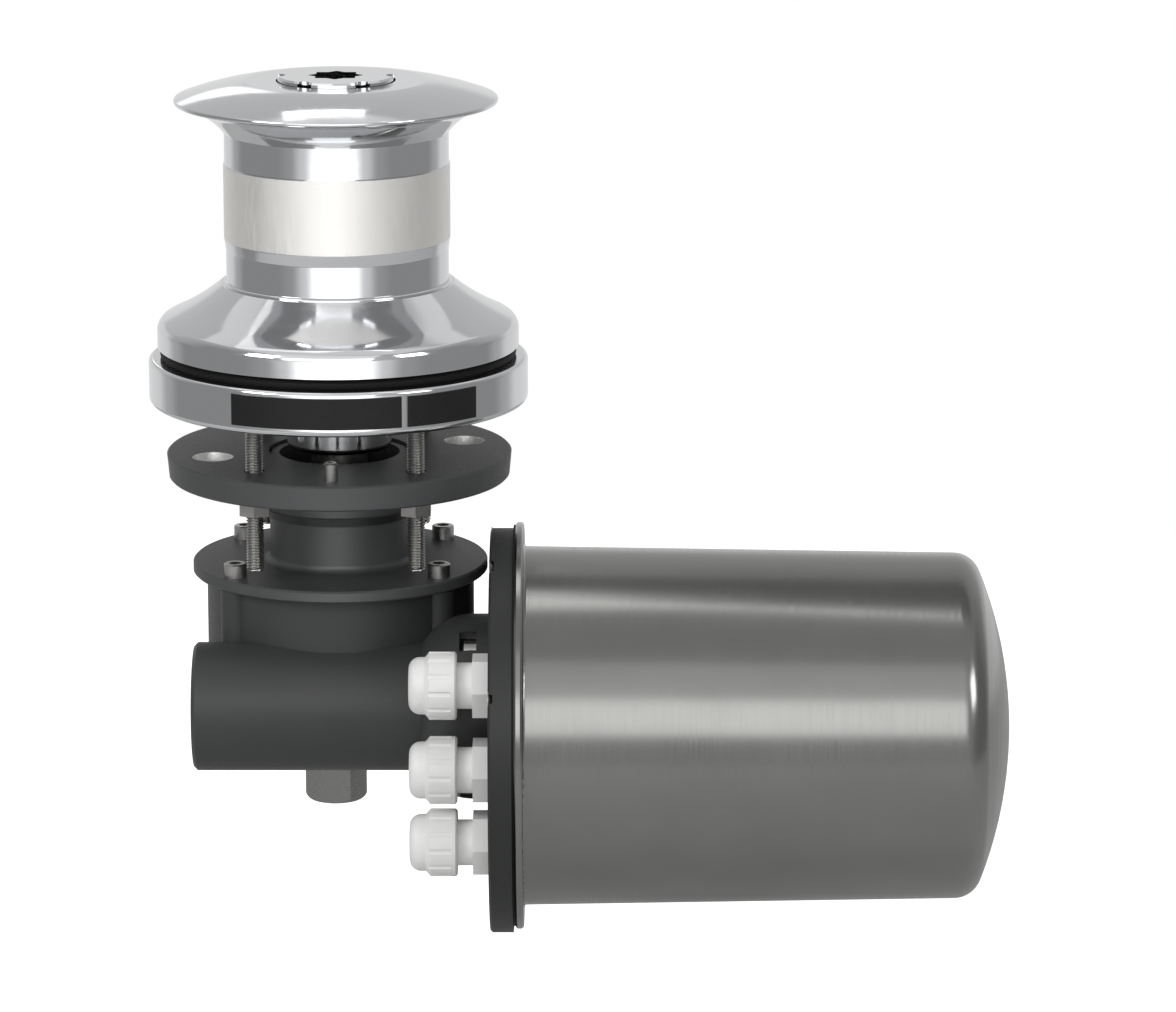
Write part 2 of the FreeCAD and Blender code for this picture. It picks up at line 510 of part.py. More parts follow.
def make_base():
    body = new_body("deck_base")
    bush_low = "base_hub_z - bush_len"
    seal_top = "spigot_z + lip_seal_tall"
    bore = "shaft_r + 1"
    turn(body, "base_turned", [
        ("lip_seal_r", "spigot_z"), ("spigot_r - spigot_fillet", "spigot_z", "spigot_fillet", 1),
        ("spigot_r", "spigot_z + spigot_fillet"), ("spigot_r", "0"),
        ("base_r - base_low_fillet", "0", "base_low_fillet", 1), ("base_r", "base_low_fillet"),
        ("base_r", "base_tall - base_top_fillet", "base_top_fillet", 1),
        ("base_r - base_top_fillet", "base_tall"),
        ("base_r - base_wall", "base_tall"), ("base_r - base_wall", "base_floor"),
        ("base_hub_r", "base_floor"),
        ("base_hub_r", "base_hub_z"), ("bush_r", "base_hub_z"), ("bush_r", bush_low), (bore, bush_low),
        (bore, seal_top), ("lip_seal_r", seal_top)])
    pull(body, "stud_bosses", [], "base_floor", "stud_boss_tall",
         circles=circles_at("stud_x", "stud_y", "stud_boss_r"))
    pull(body, "stud_holes", [], "stud_grip", "stud_grip + 1", cut=True,
         circles=circles_at("stud_x", "stud_y", "stud_r + stud_hole_gap / 4"))
    turned("shaft_bush", ring_outline("shaft_r + running_gap", "bush_r", "0", "bush_len"), z=bush_low)
    turned("thrust_washer", ring_outline("shaft_r + running_gap * 2", "base_hub_r - 0.5", "0",
                                         "washer_thick"),
           z="base_hub_z")
    lip_seal = turned("lip_seal_pattern", ring_outline("shaft_r + running_gap", "lip_seal_r", "0",
                                                       "lip_seal_tall - 0.5"),
                      node=False)
    neck_seal_z = "neck_top_z - neck_mouth_len - lip_seal_tall + 0.5"
    copies("shaft_lip_seals", lip_seal, [("0", "0", "spigot_z + 0.5"), ("0", "0", neck_seal_z)])
    seal_in = "deck_seal_r - deck_seal_wide"
    turned("drum_seal_ring", [
        (seal_in, "0"), ("deck_seal_r - 1", "0"), ("deck_seal_r", "1", "deck_seal_tall * 0.6", 1),
        ("deck_seal_r", "deck_seal_tall - 1"), ("deck_seal_r - 1", "deck_seal_tall"),
        (seal_in, "deck_seal_tall")],
        z="base_tall")
    make_name_plates()


def make_name_plates():
    """Two thin bare plates bent round the front of the base, angles measured from -Y towards +X."""
    plates = []
    for label, start, span in (("long_plate", "plate_long_start", "plate_long_span"),
                               ("short_plate", "plate_short_start", "plate_short_span")):
        plate = new_body(label, node=False)
        back = "base_r + plate_bond"
        turn(plate, label + "_band", ring_outline(back, back + " + plate_thick", "0", "plate_tall"),
             angle=span)
        copy = copy_of(plate, z="plate_low_z")
        copy.Placement = FreeCAD.Placement(FreeCAD.Vector(0, 0, 0),
                                           FreeCAD.Rotation(FreeCAD.Vector(0, 0, 1), 1))
        bind(copy, "Placement.Rotation.Angle", "(270 + %s) * 1deg" % start)
        plates.append(copy)
    join("name_plates", plates)


# ---------------------------------------------------------------- clamp flange and its fasteners

def make_clamp():
    body = new_body("clamp_flange")
    bore = "neck_r + neck_fit"
    low = "-flange_thick"
    turn(body, "flange_turned", [
        (bore, low + " - flange_hub_len"), ("flange_hub_r - 1", low + " - flange_hub_len"),
        ("flange_hub_r", low + " - flange_hub_len + 1"), ("flange_hub_r", low),
        ("flange_r - flange_draft - flange_edge", low), ("flange_r - flange_draft", low + " + flange_edge"),
        ("flange_r", "-flange_edge"), ("flange_r - flange_edge", "0"), (bore, "0")])
    studs = circles_at("stud_x", "stud_y", "stud_r + stud_hole_gap")
    hole_x = "flange_hole_pitch_r * cos(flange_hole_angle * 1deg)"
    hole_y = "flange_hole_pitch_r * sin(flange_hole_angle * 1deg)"
    plain = [(hole_x, hole_y, "flange_hole_r"), ("-(%s)" % hole_x, "-(%s)" % hole_y, "flange_hole_r")]
    pull(body, "stud_holes", [], "1", "flange_thick + 2", cut=True, circles=studs)
    pull(body, "round_holes", [], "1", "flange_thick + 2", cut=True, circles=plain)
    pull(body, "lock_hole", [], "1", "flange_thick + 2", cut=True,
         circles=[("-1", "-lock_screw_pitch_r", "lock_screw_r + thread_gap")])
    place(body, z="flange_top_z")
    turned("neck_retaining_ring", ring_outline("neck_r - circlip_groove * 1.2", "ring_r", "0", "ring_thick"),
           z="flange_low_z - flange_hub_len - ring_thick - race_gap")
    screw = new_body("lock_screw")
    turn(screw, "screw_turned", [("0", "0"), ("lock_screw_r", "0"), ("lock_screw_r", "lock_screw_len - 0.6"),
                                 ("lock_screw_r - 0.6", "lock_screw_len"), ("0", "lock_screw_len")])
    pull(screw, "screw_socket", [hexagon("lock_screw_r")], "lock_screw_len", "3", cut=True)
    place(screw, x="-1", y="-lock_screw_pitch_r", z="flange_top_z + lock_screw_out - lock_screw_len")

    stud_len = "stud_grip - stud_low_z"
    stud = turned("stud_pattern", [
        ("0", "0"), ("stud_r - 0.8", "0"), ("stud_r", "0.8"), ("stud_r", stud_len + " - 0.8"),
        ("stud_r - 0.8", stud_len), ("0", stud_len)], node=False)
    copies("clamp_studs", stud, corners_of("stud_x", "stud_y", "stud_low_z"))
    washer = turned("clamp_washer_pattern", ring_outline("stud_r + 0.3", "clamp_washer_r", "0",
                                                         "clamp_washer_thick"),
                    node=False)
    copies("clamp_washers", washer, corners_of("stud_x", "stud_y", "flange_low_z - clamp_washer_thick"))
    nut = new_body("clamp_nut_pattern", node=False)
    pull(nut, "nut_hexagon", [hexagon("nut_af")], "0", "nut_tall",
         circles=[("0", "0", "stud_r + thread_gap")])
    copies("clamp_nuts", nut, corners_of("stud_x", "stud_y", "flange_low_z - clamp_washer_thick - nut_tall"))


# ---------------------------------------------------------------- gearbox

def make_cover():
    """Neck, disc and upper bearing seat in one casting."""
    body = new_body("gearbox_cover")
    groove = "neck_r - circlip_groove * 1.2 - running_gap"
    ring_low = "flange_low_z - flange_hub_len - ring_thick - race_gap"
    shelf = "upper_bearing_z + main_bearing_wide"
    mouth = "neck_top_z - neck_mouth_len"
    turn(body, "cover_turned", [
        ("main_bearing_r", "cover_low_z - cover_spigot_len"),
        ("chamber_r - 0.1", "cover_low_z - cover_spigot_len"), ("chamber_r - 0.1", "cover_low_z"),
        ("cover_r - cover_edge", "cover_low_z"), ("cover_r", "cover_low_z + cover_edge"),
        ("cover_r", "cover_top_z - cover_edge"), ("cover_r - cover_edge", "cover_top_z"),
        ("neck_r + 3", "cover_top_z", "3", -1), ("neck_r", "cover_top_z + 3"),
        ("neck_r", ring_low + " - running_gap"), (groove, ring_low + " - running_gap"),
        (groove, ring_low + " + ring_thick + running_gap"),
        ("neck_r", ring_low + " + ring_thick + running_gap"),
        ("neck_r", "neck_top_z - 1"), ("neck_r - 1", "neck_top_z"), ("neck_mouth_r", "neck_top_z"),
        ("neck_mouth_r", mouth), ("lip_seal_r", mouth), ("lip_seal_r", mouth + " - lip_seal_tall"),
        ("shaft_r + 2", mouth + " - lip_seal_tall"), ("shaft_r + 2", shelf), ("main_bearing_r", shelf)])
    bolts = circles_at("bolt_x", "bolt_y", "cover_bolt_r + bolt_hole_gap")
    pull(body, "bolt_holes", [], "cover_top_z + 1", "cover_thick + 2", cut=True, circles=bolts)
    gasket = new_body("cover_gasket")
    turn(gasket, "gasket_turned", ring_outline("chamber_r", "house_r", "0", "gasket_thick"))
    pull(gasket, "gasket_lobes", [], "0", "gasket_thick", circles=circles_at("bolt_x", "bolt_y", "boss_r"))
    pull(gasket, "gasket_holes", [], "gasket_thick + 1", "gasket_thick + 2", cut=True, circles=bolts)
    turn(gasket, "gasket_bore", ring_outline("0", "chamber_r", "-1", "gasket_thick + 1"), cut=True)
    place(gasket, z="house_top_z")
    bolt = socket_screw("cover_bolt_pattern", "cover_bolt_r", "cover_bolt_len", "cover_bolt_head_r",
                        "cover_bolt_head_tall")
    copies("cover_bolts", bolt, corners_of("bolt_x", "bolt_y", "cover_top_z"))


def socket_screw(label, radius, length, head_radius, head_tall):
    """A socket-head screw with the head's seat at its own origin and the head towards its own +Z."""
    screw = new_body(label, node=False)
    turn(screw, label + "_turned", [
        ("0", "-(%s)" % length), (radius, "-(%s)" % length), (radius, "0"), (head_radius, "0"),
        (head_radius, "%s - 0.5" % head_tall), ("%s - 0.5" % head_radius, head_tall), ("0", head_tall)])
    pull(screw, label + "_socket", [hexagon("%s * 1.7" % radius)], head_tall, "%s * 0.55" % head_tall,
         cut=True)
    return screw


def make_housing():
    """Worm gearbox casting: a cup about the drum axis, a tube along the worm and a bell for the motor."""
    body = new_body("gear_housing")
    turn(body, "cup", [
        ("0", "boss_low_z"), ("boss_low_r - 1.5", "boss_low_z"), ("boss_low_r", "boss_low_z + 1.5"),
        ("boss_low_r", "house_low_z"), ("house_r - 4", "house_low_z", "4", 1),
        ("house_r", "house_low_z + 4"),
        ("house_r", "house_top_z"), ("0", "house_top_z")])
    pull(body, "bolt_bosses", [], "boss_strip_z", "house_top_z - boss_strip_z",
         circles=circles_at("bolt_x", "bolt_y", "boss_r"))
    tube = [("tube_left_x", "0"), ("bell_face_x", "0"), ("bell_face_x", "bell_r"), ("bell_full_x", "bell_r"),
            ("bell_start_x", "tube_r"), ("tube_left_x + tube_edge", "tube_r"),
            ("tube_left_x", "tube_r - tube_edge")]
    tube = [(x, "worm_z + " + r) for x, r in tube]
    tube[3] = tube[3] + ("bell_curve_r", 1)
    turn_about(body, "worm_tube", tube)
    turn(body, "chamber", [
        ("0", "lower_bearing_z"), ("main_bearing_r", "lower_bearing_z"), ("main_bearing_r", "chamber_low_z"),
        ("chamber_r", "chamber_low_z"), ("chamber_r", "house_top_z + 1"), ("0", "house_top_z + 1")],
        cut=True)
    seat = "worm_seat_x + worm_bearing_wide"
    seal_end = seat + " + worm_seal_len + 1"
    bore = [("tube_left_x - 1", "0"), ("bell_face_x + 1", "0"), ("bell_face_x + 1", "plate_bore_r"),
            (seal_end, "plate_bore_r"), (seal_end, "worm_bearing_r"), ("worm_seat_x", "worm_bearing_r"),
            ("worm_seat_x", "worm_bore_r"), ("-worm_seat_x", "worm_bore_r"),
            ("-worm_seat_x", "worm_bearing_r"),
            ("tube_left_x - 1", "worm_bearing_r")]
    turn_about(body, "worm_bore", [(x, "worm_z + " + r) for x, r in bore], cut=True)
    pull(body, "plug_hole", [], "lower_bearing_z + 1", "lower_bearing_z - boss_low_z + 2", cut=True,
         circles=[("plug_x", "0", "plug_thread_r + thread_gap")])
    pull(body, "cover_threads", [], "house_top_z + 1", "cover_bolt_len - cover_thick + 2", cut=True,
         circles=circles_at("bolt_x", "bolt_y", "cover_bolt_r + thread_gap"))
    centres = bell_bolt_spots("bell_bolt_pitch_r")
    mouths = bell_bolt_spots("(bell_bolt_pitch_r + bell_pocket_r)")
    for name, spots in (("bell_pockets", centres), ("bell_pocket_mouths", mouths)):
        pull(body, name, [], "bell_face_x - bell_flange", "bell_pocket_len", cut=True, role="YZ_Plane",
             circles=[(y, z, "bell_pocket_r") for y, z in spots])
    pull(body, "bell_holes", [], "bell_face_x + 1", "bell_flange + 2", cut=True, role="YZ_Plane",
         circles=[(y, z, "bell_bolt_r + bolt_hole_gap") for y, z in centres])


def bell_bolt_spots(radius):
    """Y and Z of four places about the worm axis, at the angle of the bell bolts."""
    corners = corners_of(radius + " * cos(bell_bolt_angle * 1deg)",
                         radius + " * sin(bell_bolt_angle * 1deg)", "0")
    return [("worm_y + " + y, "worm_z + " + z) for y, z, level in corners]


def turn_about(body, name, outline, cut=False):
    """A turning about the worm axis: the outline's second value is a height, taken from the drum frame."""
    sketch = new_sketch(body, name + "_outline", "XZ_Plane", "-worm_y")
    add_outline(sketch, outline)
    start = FreeCAD.Vector(0, number("worm_z"), 0)
    end = FreeCAD.Vector(number("tube_r"), number("worm_z"), 0)
    axis_line = sketch.addGeometry(Part.LineSegment(start, end), True)
    pin_point(sketch, axis_line, 1, "0", "worm_z")
    pin_point(sketch, axis_line, 2, "tube_r", "worm_z")
    feature = body.newObject("PartDesign::Groove" if cut else "PartDesign::Revolution", name)
    feature.Profile = sketch
    feature.ReferenceAxis = (sketch, ["Axis0"])
    feature.Angle = 360
    doc.recompute()
    return feature


def make_plug():
    body = new_body("bottom_plug")
    turn(body, "plug_turned", [
        ("0", "-plug_tall"), ("plug_af / 2 - plug_edge", "-plug_tall", "plug_edge * 1.6", 1),
        ("plug_af / sqrt(3)", "plug_edge - plug_tall"), ("plug_af / sqrt(3)", "0"),
        ("plug_thread_r", "0"), ("plug_thread_r", "plug_thread_len + plug_washer_thick"),
        ("0", "plug_thread_len + plug_washer_thick")])
    flats_to_front = [(x, y) for y, x in hexagon("plug_af")]
    pull(body, "plug_flats", [flats_to_front], "-plug_tall - 1", "plug_tall + 1", cut=True, reverse=True,
         circles=[("0", "0", "plug_af")])
    place(body, x="plug_x", z="boss_low_z - plug_washer_thick")
    turned("plug_washer", ring_outline("plug_thread_r + running_gap", "plug_washer_r", "0",
                                       "plug_washer_thick"),
           x="plug_x", z="boss_low_z - plug_washer_thick")


def make_worm():
    body = new_body("worm_shaft")
    thread_half = "worm_pitch * worm_turns / 2"
    root = "worm_pitch_r - gear_module - tooth_root_gap"
    stub_x = "worm_seat_x + worm_bearing_wide + worm_seal_len + 1"
    turn(body, "worm_turned", [
        ("0", "-worm_seat_x - worm_bearing_wide"), ("worm_shaft_r", "-worm_seat_x - worm_bearing_wide"),
        ("worm_shaft_r", "-worm_seat_x"), ("worm_tip_r", "-worm_seat_x"), ("worm_tip_r", "-worm_seat_x + 3"),
        (root, "-(%s) - 5" % thread_half), (root, "%s + 5" % thread_half),
        ("worm_tip_r", "worm_seat_x - 3"), ("worm_tip_r", "worm_seat_x"), ("worm_shaft_r", "worm_seat_x"),
        ("worm_shaft_r", stub_x), ("worm_end_r", stub_x), ("worm_end_r", "worm_end_x"), ("0", "worm_end_x")])
    sketch = new_sketch(body, "thread_outline")
    middle = "-worm_pitch * worm_turns / 2"
    half = "(tooth_half - flank_gap)"
    rise = "gear_module * tan(20 * 1deg)"
    sunk = "(gear_module + tooth_root_gap + 0.5)"
    add_outline(sketch, [
        ("worm_pitch_r - %s" % sunk, "%s - %s - %s * tan(20 * 1deg)" % (middle, half, sunk)),
        ("worm_tip_r", "%s - %s + %s" % (middle, half, rise)),
        ("worm_tip_r", "%s + %s - %s" % (middle, half, rise)),
        ("worm_pitch_r - %s" % sunk, "%s + %s + %s * tan(20 * 1deg)" % (middle, half, sunk))])
    thread = body.newObject("PartDesign::AdditiveHelix", "worm_thread")
    thread.Profile = sketch
    thread.ReferenceAxis = (sketch, ["V_Axis"])
    thread.Mode = "pitch-turns-angle"
    bind(thread, "Pitch", "worm_pitch")
    bind(thread, "Turns", "worm_turns")
    doc.recompute()
    place(body, y="worm_y", z="worm_z", along="+X")


def make_wheel():
    """Worm wheel: its tooth gaps run square to the thread, and one gap faces the worm at rest."""
    body = new_body("worm_wheel")
    half_hub = "wheel_hub_len / 2"
    half_face = "wheel_face / 2"
    rim_r = "wheel_root_r - 6"
    bore = "shaft_r + running_gap"
    turn(body, "wheel_turned", [
        (bore, "-" + half_hub), ("wheel_hub_r", "-" + half_hub), ("wheel_hub_r", "-" + half_face + " + 4"),
        (rim_r, "-" + half_face + " + 4"), (rim_r, "-" + half_face), ("wheel_tip_r", "-" + half_face),
        ("wheel_tip_r", half_face), (rim_r, half_face), (rim_r, half_face + " - 4"),
        ("wheel_hub_r", half_face + " - 4"), ("wheel_hub_r", half_hub), (bore, half_hub)])
    cut_keyway(body, "wheel_hub_len + 2", "-(%s) - 1" % half_hub)
    sketch = new_sketch(body, "gap_outline", "XY_Plane")
    tilt = FreeCAD.Rotation(FreeCAD.Vector(-1, 0, 0), number("worm_lead_angle"))
    sketch.AttachmentOffset = FreeCAD.Placement(FreeCAD.Vector(0, 0, 0), tilt)
    bind(sketch, "AttachmentOffset.Rotation.Angle", "worm_lead_angle * 1deg")
    half = "(tooth_half + flank_gap)"
    deep = "(gear_module + tooth_root_gap)"
    out = "(gear_module + 1.5)"
    slope = "tan(20 * 1deg)"
    add_outline(sketch, [
        ("wheel_root_r", "-%s + %s * %s" % (half, deep, slope)),
        ("wheel_pitch_r + " + out, "-%s - %s * %s" % (half, out, slope)),
        ("wheel_pitch_r + " + out, "%s + %s * %s" % (half, out, slope)),
        ("wheel_root_r", "%s - %s * %s" % (half, deep, slope))])
    gap = body.newObject("PartDesign::Pocket", "tooth_gap")
    gap.Profile = sketch
    gap.Midplane = True
    bind(gap, "Length", "wheel_face * 1.3")
    doc.recompute()
    repeat(body, "tooth_gaps", [gap], "wheel_teeth")
    place(body, z="worm_z")


def make_balls(label, ball_r, count, mid, wide, places, along):
    """The balls of one bearing set, evenly spaced, all in one node."""
    ball = doc.addObject("Part::Sphere", label + "_pattern")
    bind(ball, "Radius", ball_r)
    spots = []
    for x, y, z in places:
        for index in range(int(number(count))):
            angle = "(%d * 360 / %s + 10) * 1deg" % (index, count)
            across = "(%s) * cos(%s)" % (mid, angle)
            up = "(%s) * sin(%s)" % (mid, angle)
            if along == "+Z":
                spots.append(("%s + %s" % (x, across), "%s + %s" % (y, up), "%s + (%s) / 2" % (z, wide)))
            else:
                spots.append(("%s + (%s) / 2" % (x, wide), "%s + %s" % (y, across), "%s + %s" % (z, up)))
    copies(label, ball, spots)


def ring_pair(name, bore, outer, wide, ball_r, mid):
    """Outer and inner ring of a deep-groove bearing, with the race cut as part of a circle."""
    reach = "(%s + race_gap)" % ball_r
    lip = "(%s * race_shoulder)" % ball_r
    half_mouth = "sqrt(%s * %s - %s * %s)" % (reach, reach, lip, lip)
    middle = "(%s) / 2" % wide
    low = "%s - %s" % (middle, half_mouth)
    high = "%s + %s" % (middle, half_mouth)
    outer_in = "%s + %s" % (mid, lip)
    inner_out = "%s - %s" % (mid, lip)
    outer_ring = turned(name + "_outer_pattern", [
        (outer, "0"), (outer, wide), (outer_in, wide), (outer_in, high, reach, -1),
        (outer_in, low), (outer_in, "0")], node=False)
    inner_ring = turned(name + "_inner_pattern", [
        (bore, "0"), (inner_out, "0"), (inner_out, low, reach, -1), (inner_out, high),
        (inner_out, wide), (bore, wide)], node=False)
    return outer_ring, inner_ring


def make_bearings():
    sets = [
        ("main", "shaft_r + running_gap", "main", "shaft_r",
         [("0", "0", "upper_bearing_z"), ("0", "0", "lower_bearing_z")], "+Z"),
        ("worm", "worm_shaft_r", "worm", "worm_shaft_r",
         [("-worm_seat_x - worm_bearing_wide", "worm_y", "worm_z"), ("worm_seat_x", "worm_y", "worm_z")],
         "+X"),
        ("motor", "motor_shaft_r", "motor", "motor_shaft_r",
         [("front_bearing_x", "worm_y", "worm_z"), ("rear_bearing_x", "worm_y", "worm_z")], "+X"),
    ]
    for name, bore, prefix, shaft, places, along in sets:
        wide = prefix + "_bearing_wide"
        mid = prefix + "_race_mid"
        outer_ring, inner_ring = ring_pair(name, bore, prefix + "_bearing_r", wide, prefix + "_ball_r", mid)
        copies(name + "_bearing_outer_rings", outer_ring, places, along)
        copies(name + "_bearing_inner_rings", inner_ring, places, along)
        make_balls(name + "_bearing_balls", prefix + "_ball_r", prefix + "_ball_count", mid, wide, places,
                   along)


def make_worm_closing():
    """What closes the worm tube: a plug held by a ring on the left, a lip seal on the motor side."""
    seat_left = "-worm_seat_x - worm_bearing_wide"
    turned("worm_end_plug", ring_outline("0", "worm_bearing_r - running_gap", "0", "end_plug_thick"),
           x=seat_left + " - end_plug_thick - 0.2", y="worm_y", z="worm_z", along="+X")
    turned("worm_oil_seal", ring_outline("worm_shaft_r + running_gap", "worm_bearing_r", "0",
                                         "worm_seal_len"),
           x="worm_seat_x + worm_bearing_wide + 0.2", y="worm_y", z="worm_z", along="+X")


# ---------------------------------------------------------------- motor

def make_plate():
    """Black plate between the gearbox bell and the motor can; its own Z runs along +X."""
    body = new_body("motor_plate")
    turn(body, "plate_turned", [
        ("0", "0"), ("plate_r - 1", "0"), ("plate_r", "1"), ("plate_r", "plate_wide"), ("0", "plate_wide")])
    # In this body's own frame x runs down (-Z of the part) and y along +Y of the part.
    down = "plate_z - worm_z"
    side = "worm_y - plate_y"
    bolt_spots = [("%s + %s" % (down, z), "%s + %s" % (side, y))
                  for z, y, level in corners_of("bell_bolt_z", "bell_bolt_y", "0")]
    pull(body, "shaft_hole", [], "plate_wide + 1", "plate_wide + 2", cut=True,
         circles=[(down, side, "plate_bore_r")])
    pull(body, "bell_bolt_holes", [], "plate_wide + 1", "plate_wide + 2", cut=True,
         circles=[(x, y, "bell_bolt_r + bolt_hole_gap") for x, y in bolt_spots])
    glands = [("plate_z - " + z, "gland_y - plate_y", "gland_thread_r + gland_thread_gap")
              for z in ("gland_top_z", "gland_mid_z", "gland_low_z")]
    pull(body, "gland_holes", [], "plate_wide + 1", "plate_wide + 2", cut=True, circles=glands)
    rim_down = "plate_z - can_z"
    for index in range(int(number("can_screw_count"))):
        x, y = can_screw_spot(index)
        turn_countersink(body, "screw_hole_%d" % (index + 1), "%s + %s" % (rim_down, x), y)
    place(body, "bell_face_x", "plate_y", "plate_z", "+X")


def can_screw_spot(index):
    """Place of one can screw in a frame that looks along +X: down, then towards +Y."""
    angle = "((%d + 0.5) * 360 / can_screw_count) * 1deg" % index
    return "can_screw_pitch_r * cos(%s)" % angle, "can_screw_pitch_r * sin(%s)" % angle


def turn_countersink(body, name, x, y):
    """A countersunk hole as two pockets: a plain hole and a shallow seat for the head."""
    pull(body, name, [], "plate_wide + 1", "plate_wide + 2", cut=True, circles=[(x, y, "can_screw_r + 0.2")])
    pull(body, name + "_seat", [], "can_screw_head_r - can_screw_r", "can_screw_head_r", cut=True,
         circles=[(x, y, "can_screw_head_r + 0.1")])


def make_can():
    turned("plate_gasket", ring_outline("can_r - can_wall", "can_rim_r - 1.2", "0", "gasket_wide"),
           x="plate_face_x", y="plate_y", z="can_z", along="+X")
    body = new_body("motor_can")
    turn(body, "can_turned", [
        ("can_r - can_wall", "0"), ("can_rim_r - 0.8", "0"), ("can_rim_r", "0.8"),
        ("can_rim_r", "can_rim_wide - 0.8"), ("can_rim_r - 0.8", "can_rim_wide"),
        ("can_r + can_foot_r", "can_rim_wide", "can_foot_r", -1), ("can_r", "can_rim_wide + can_foot_r"),
        ("can_end_r", "can_knuckle_z", "can_knuckle_r", 1),
        ("can_dome_edge_r", "can_dome_edge_z", "can_dome_r", 1),
        ("0", "can_len"), ("0", "can_len - can_wall", "can_dome_r - can_wall", -1),
        ("can_inner_edge_r", "can_inner_edge_z", "can_knuckle_r - can_wall", -1),
        ("can_end_r - can_wall", "can_knuckle_z")])
    screws = range(int(number("can_screw_count")))
    threads = [can_screw_spot(index) + ("can_screw_r + thread_gap",) for index in screws]
    pull(body, "screw_threads", [], "can_rim_wide + 1", "can_rim_wide + 2", cut=True, circles=threads)
    place(body, "can_face_x", "plate_y", "can_z", "+X")
    gasket = doc.getObject("plate_gasket")
    pull(gasket, "gasket_screw_holes", [], "gasket_wide + 1", "gasket_wide + 2", cut=True, circles=threads)
    screw = turned("can_screw_pattern", [
        ("0", "0"), ("can_screw_head_r", "0"), ("can_screw_head_r", "0.3"),
        ("can_screw_r", "can_screw_head_r - can_screw_r"),
        ("can_screw_r", "plate_wide + gasket_wide + can_rim_wide"),
        ("0", "plate_wide + gasket_wide + can_rim_wide")], node=False)
    spots = []
    for index in screws:
        x, y = can_screw_spot(index)
        spots.append(("bell_face_x", "plate_y + " + y, "can_z - " + x))
    copies("can_screws", screw, spots, "+X")
    bolt = socket_screw("bell_bolt_pattern", "bell_bolt_r", "bell_bolt_len", "bell_bolt_head_r",
                        "bell_bolt_head_tall")
    copies("bell_bolts", bolt,
           [("bell_face_x - bell_flange", y, z) for y, z in bell_bolt_spots("bell_bolt_pitch_r")], "-X")


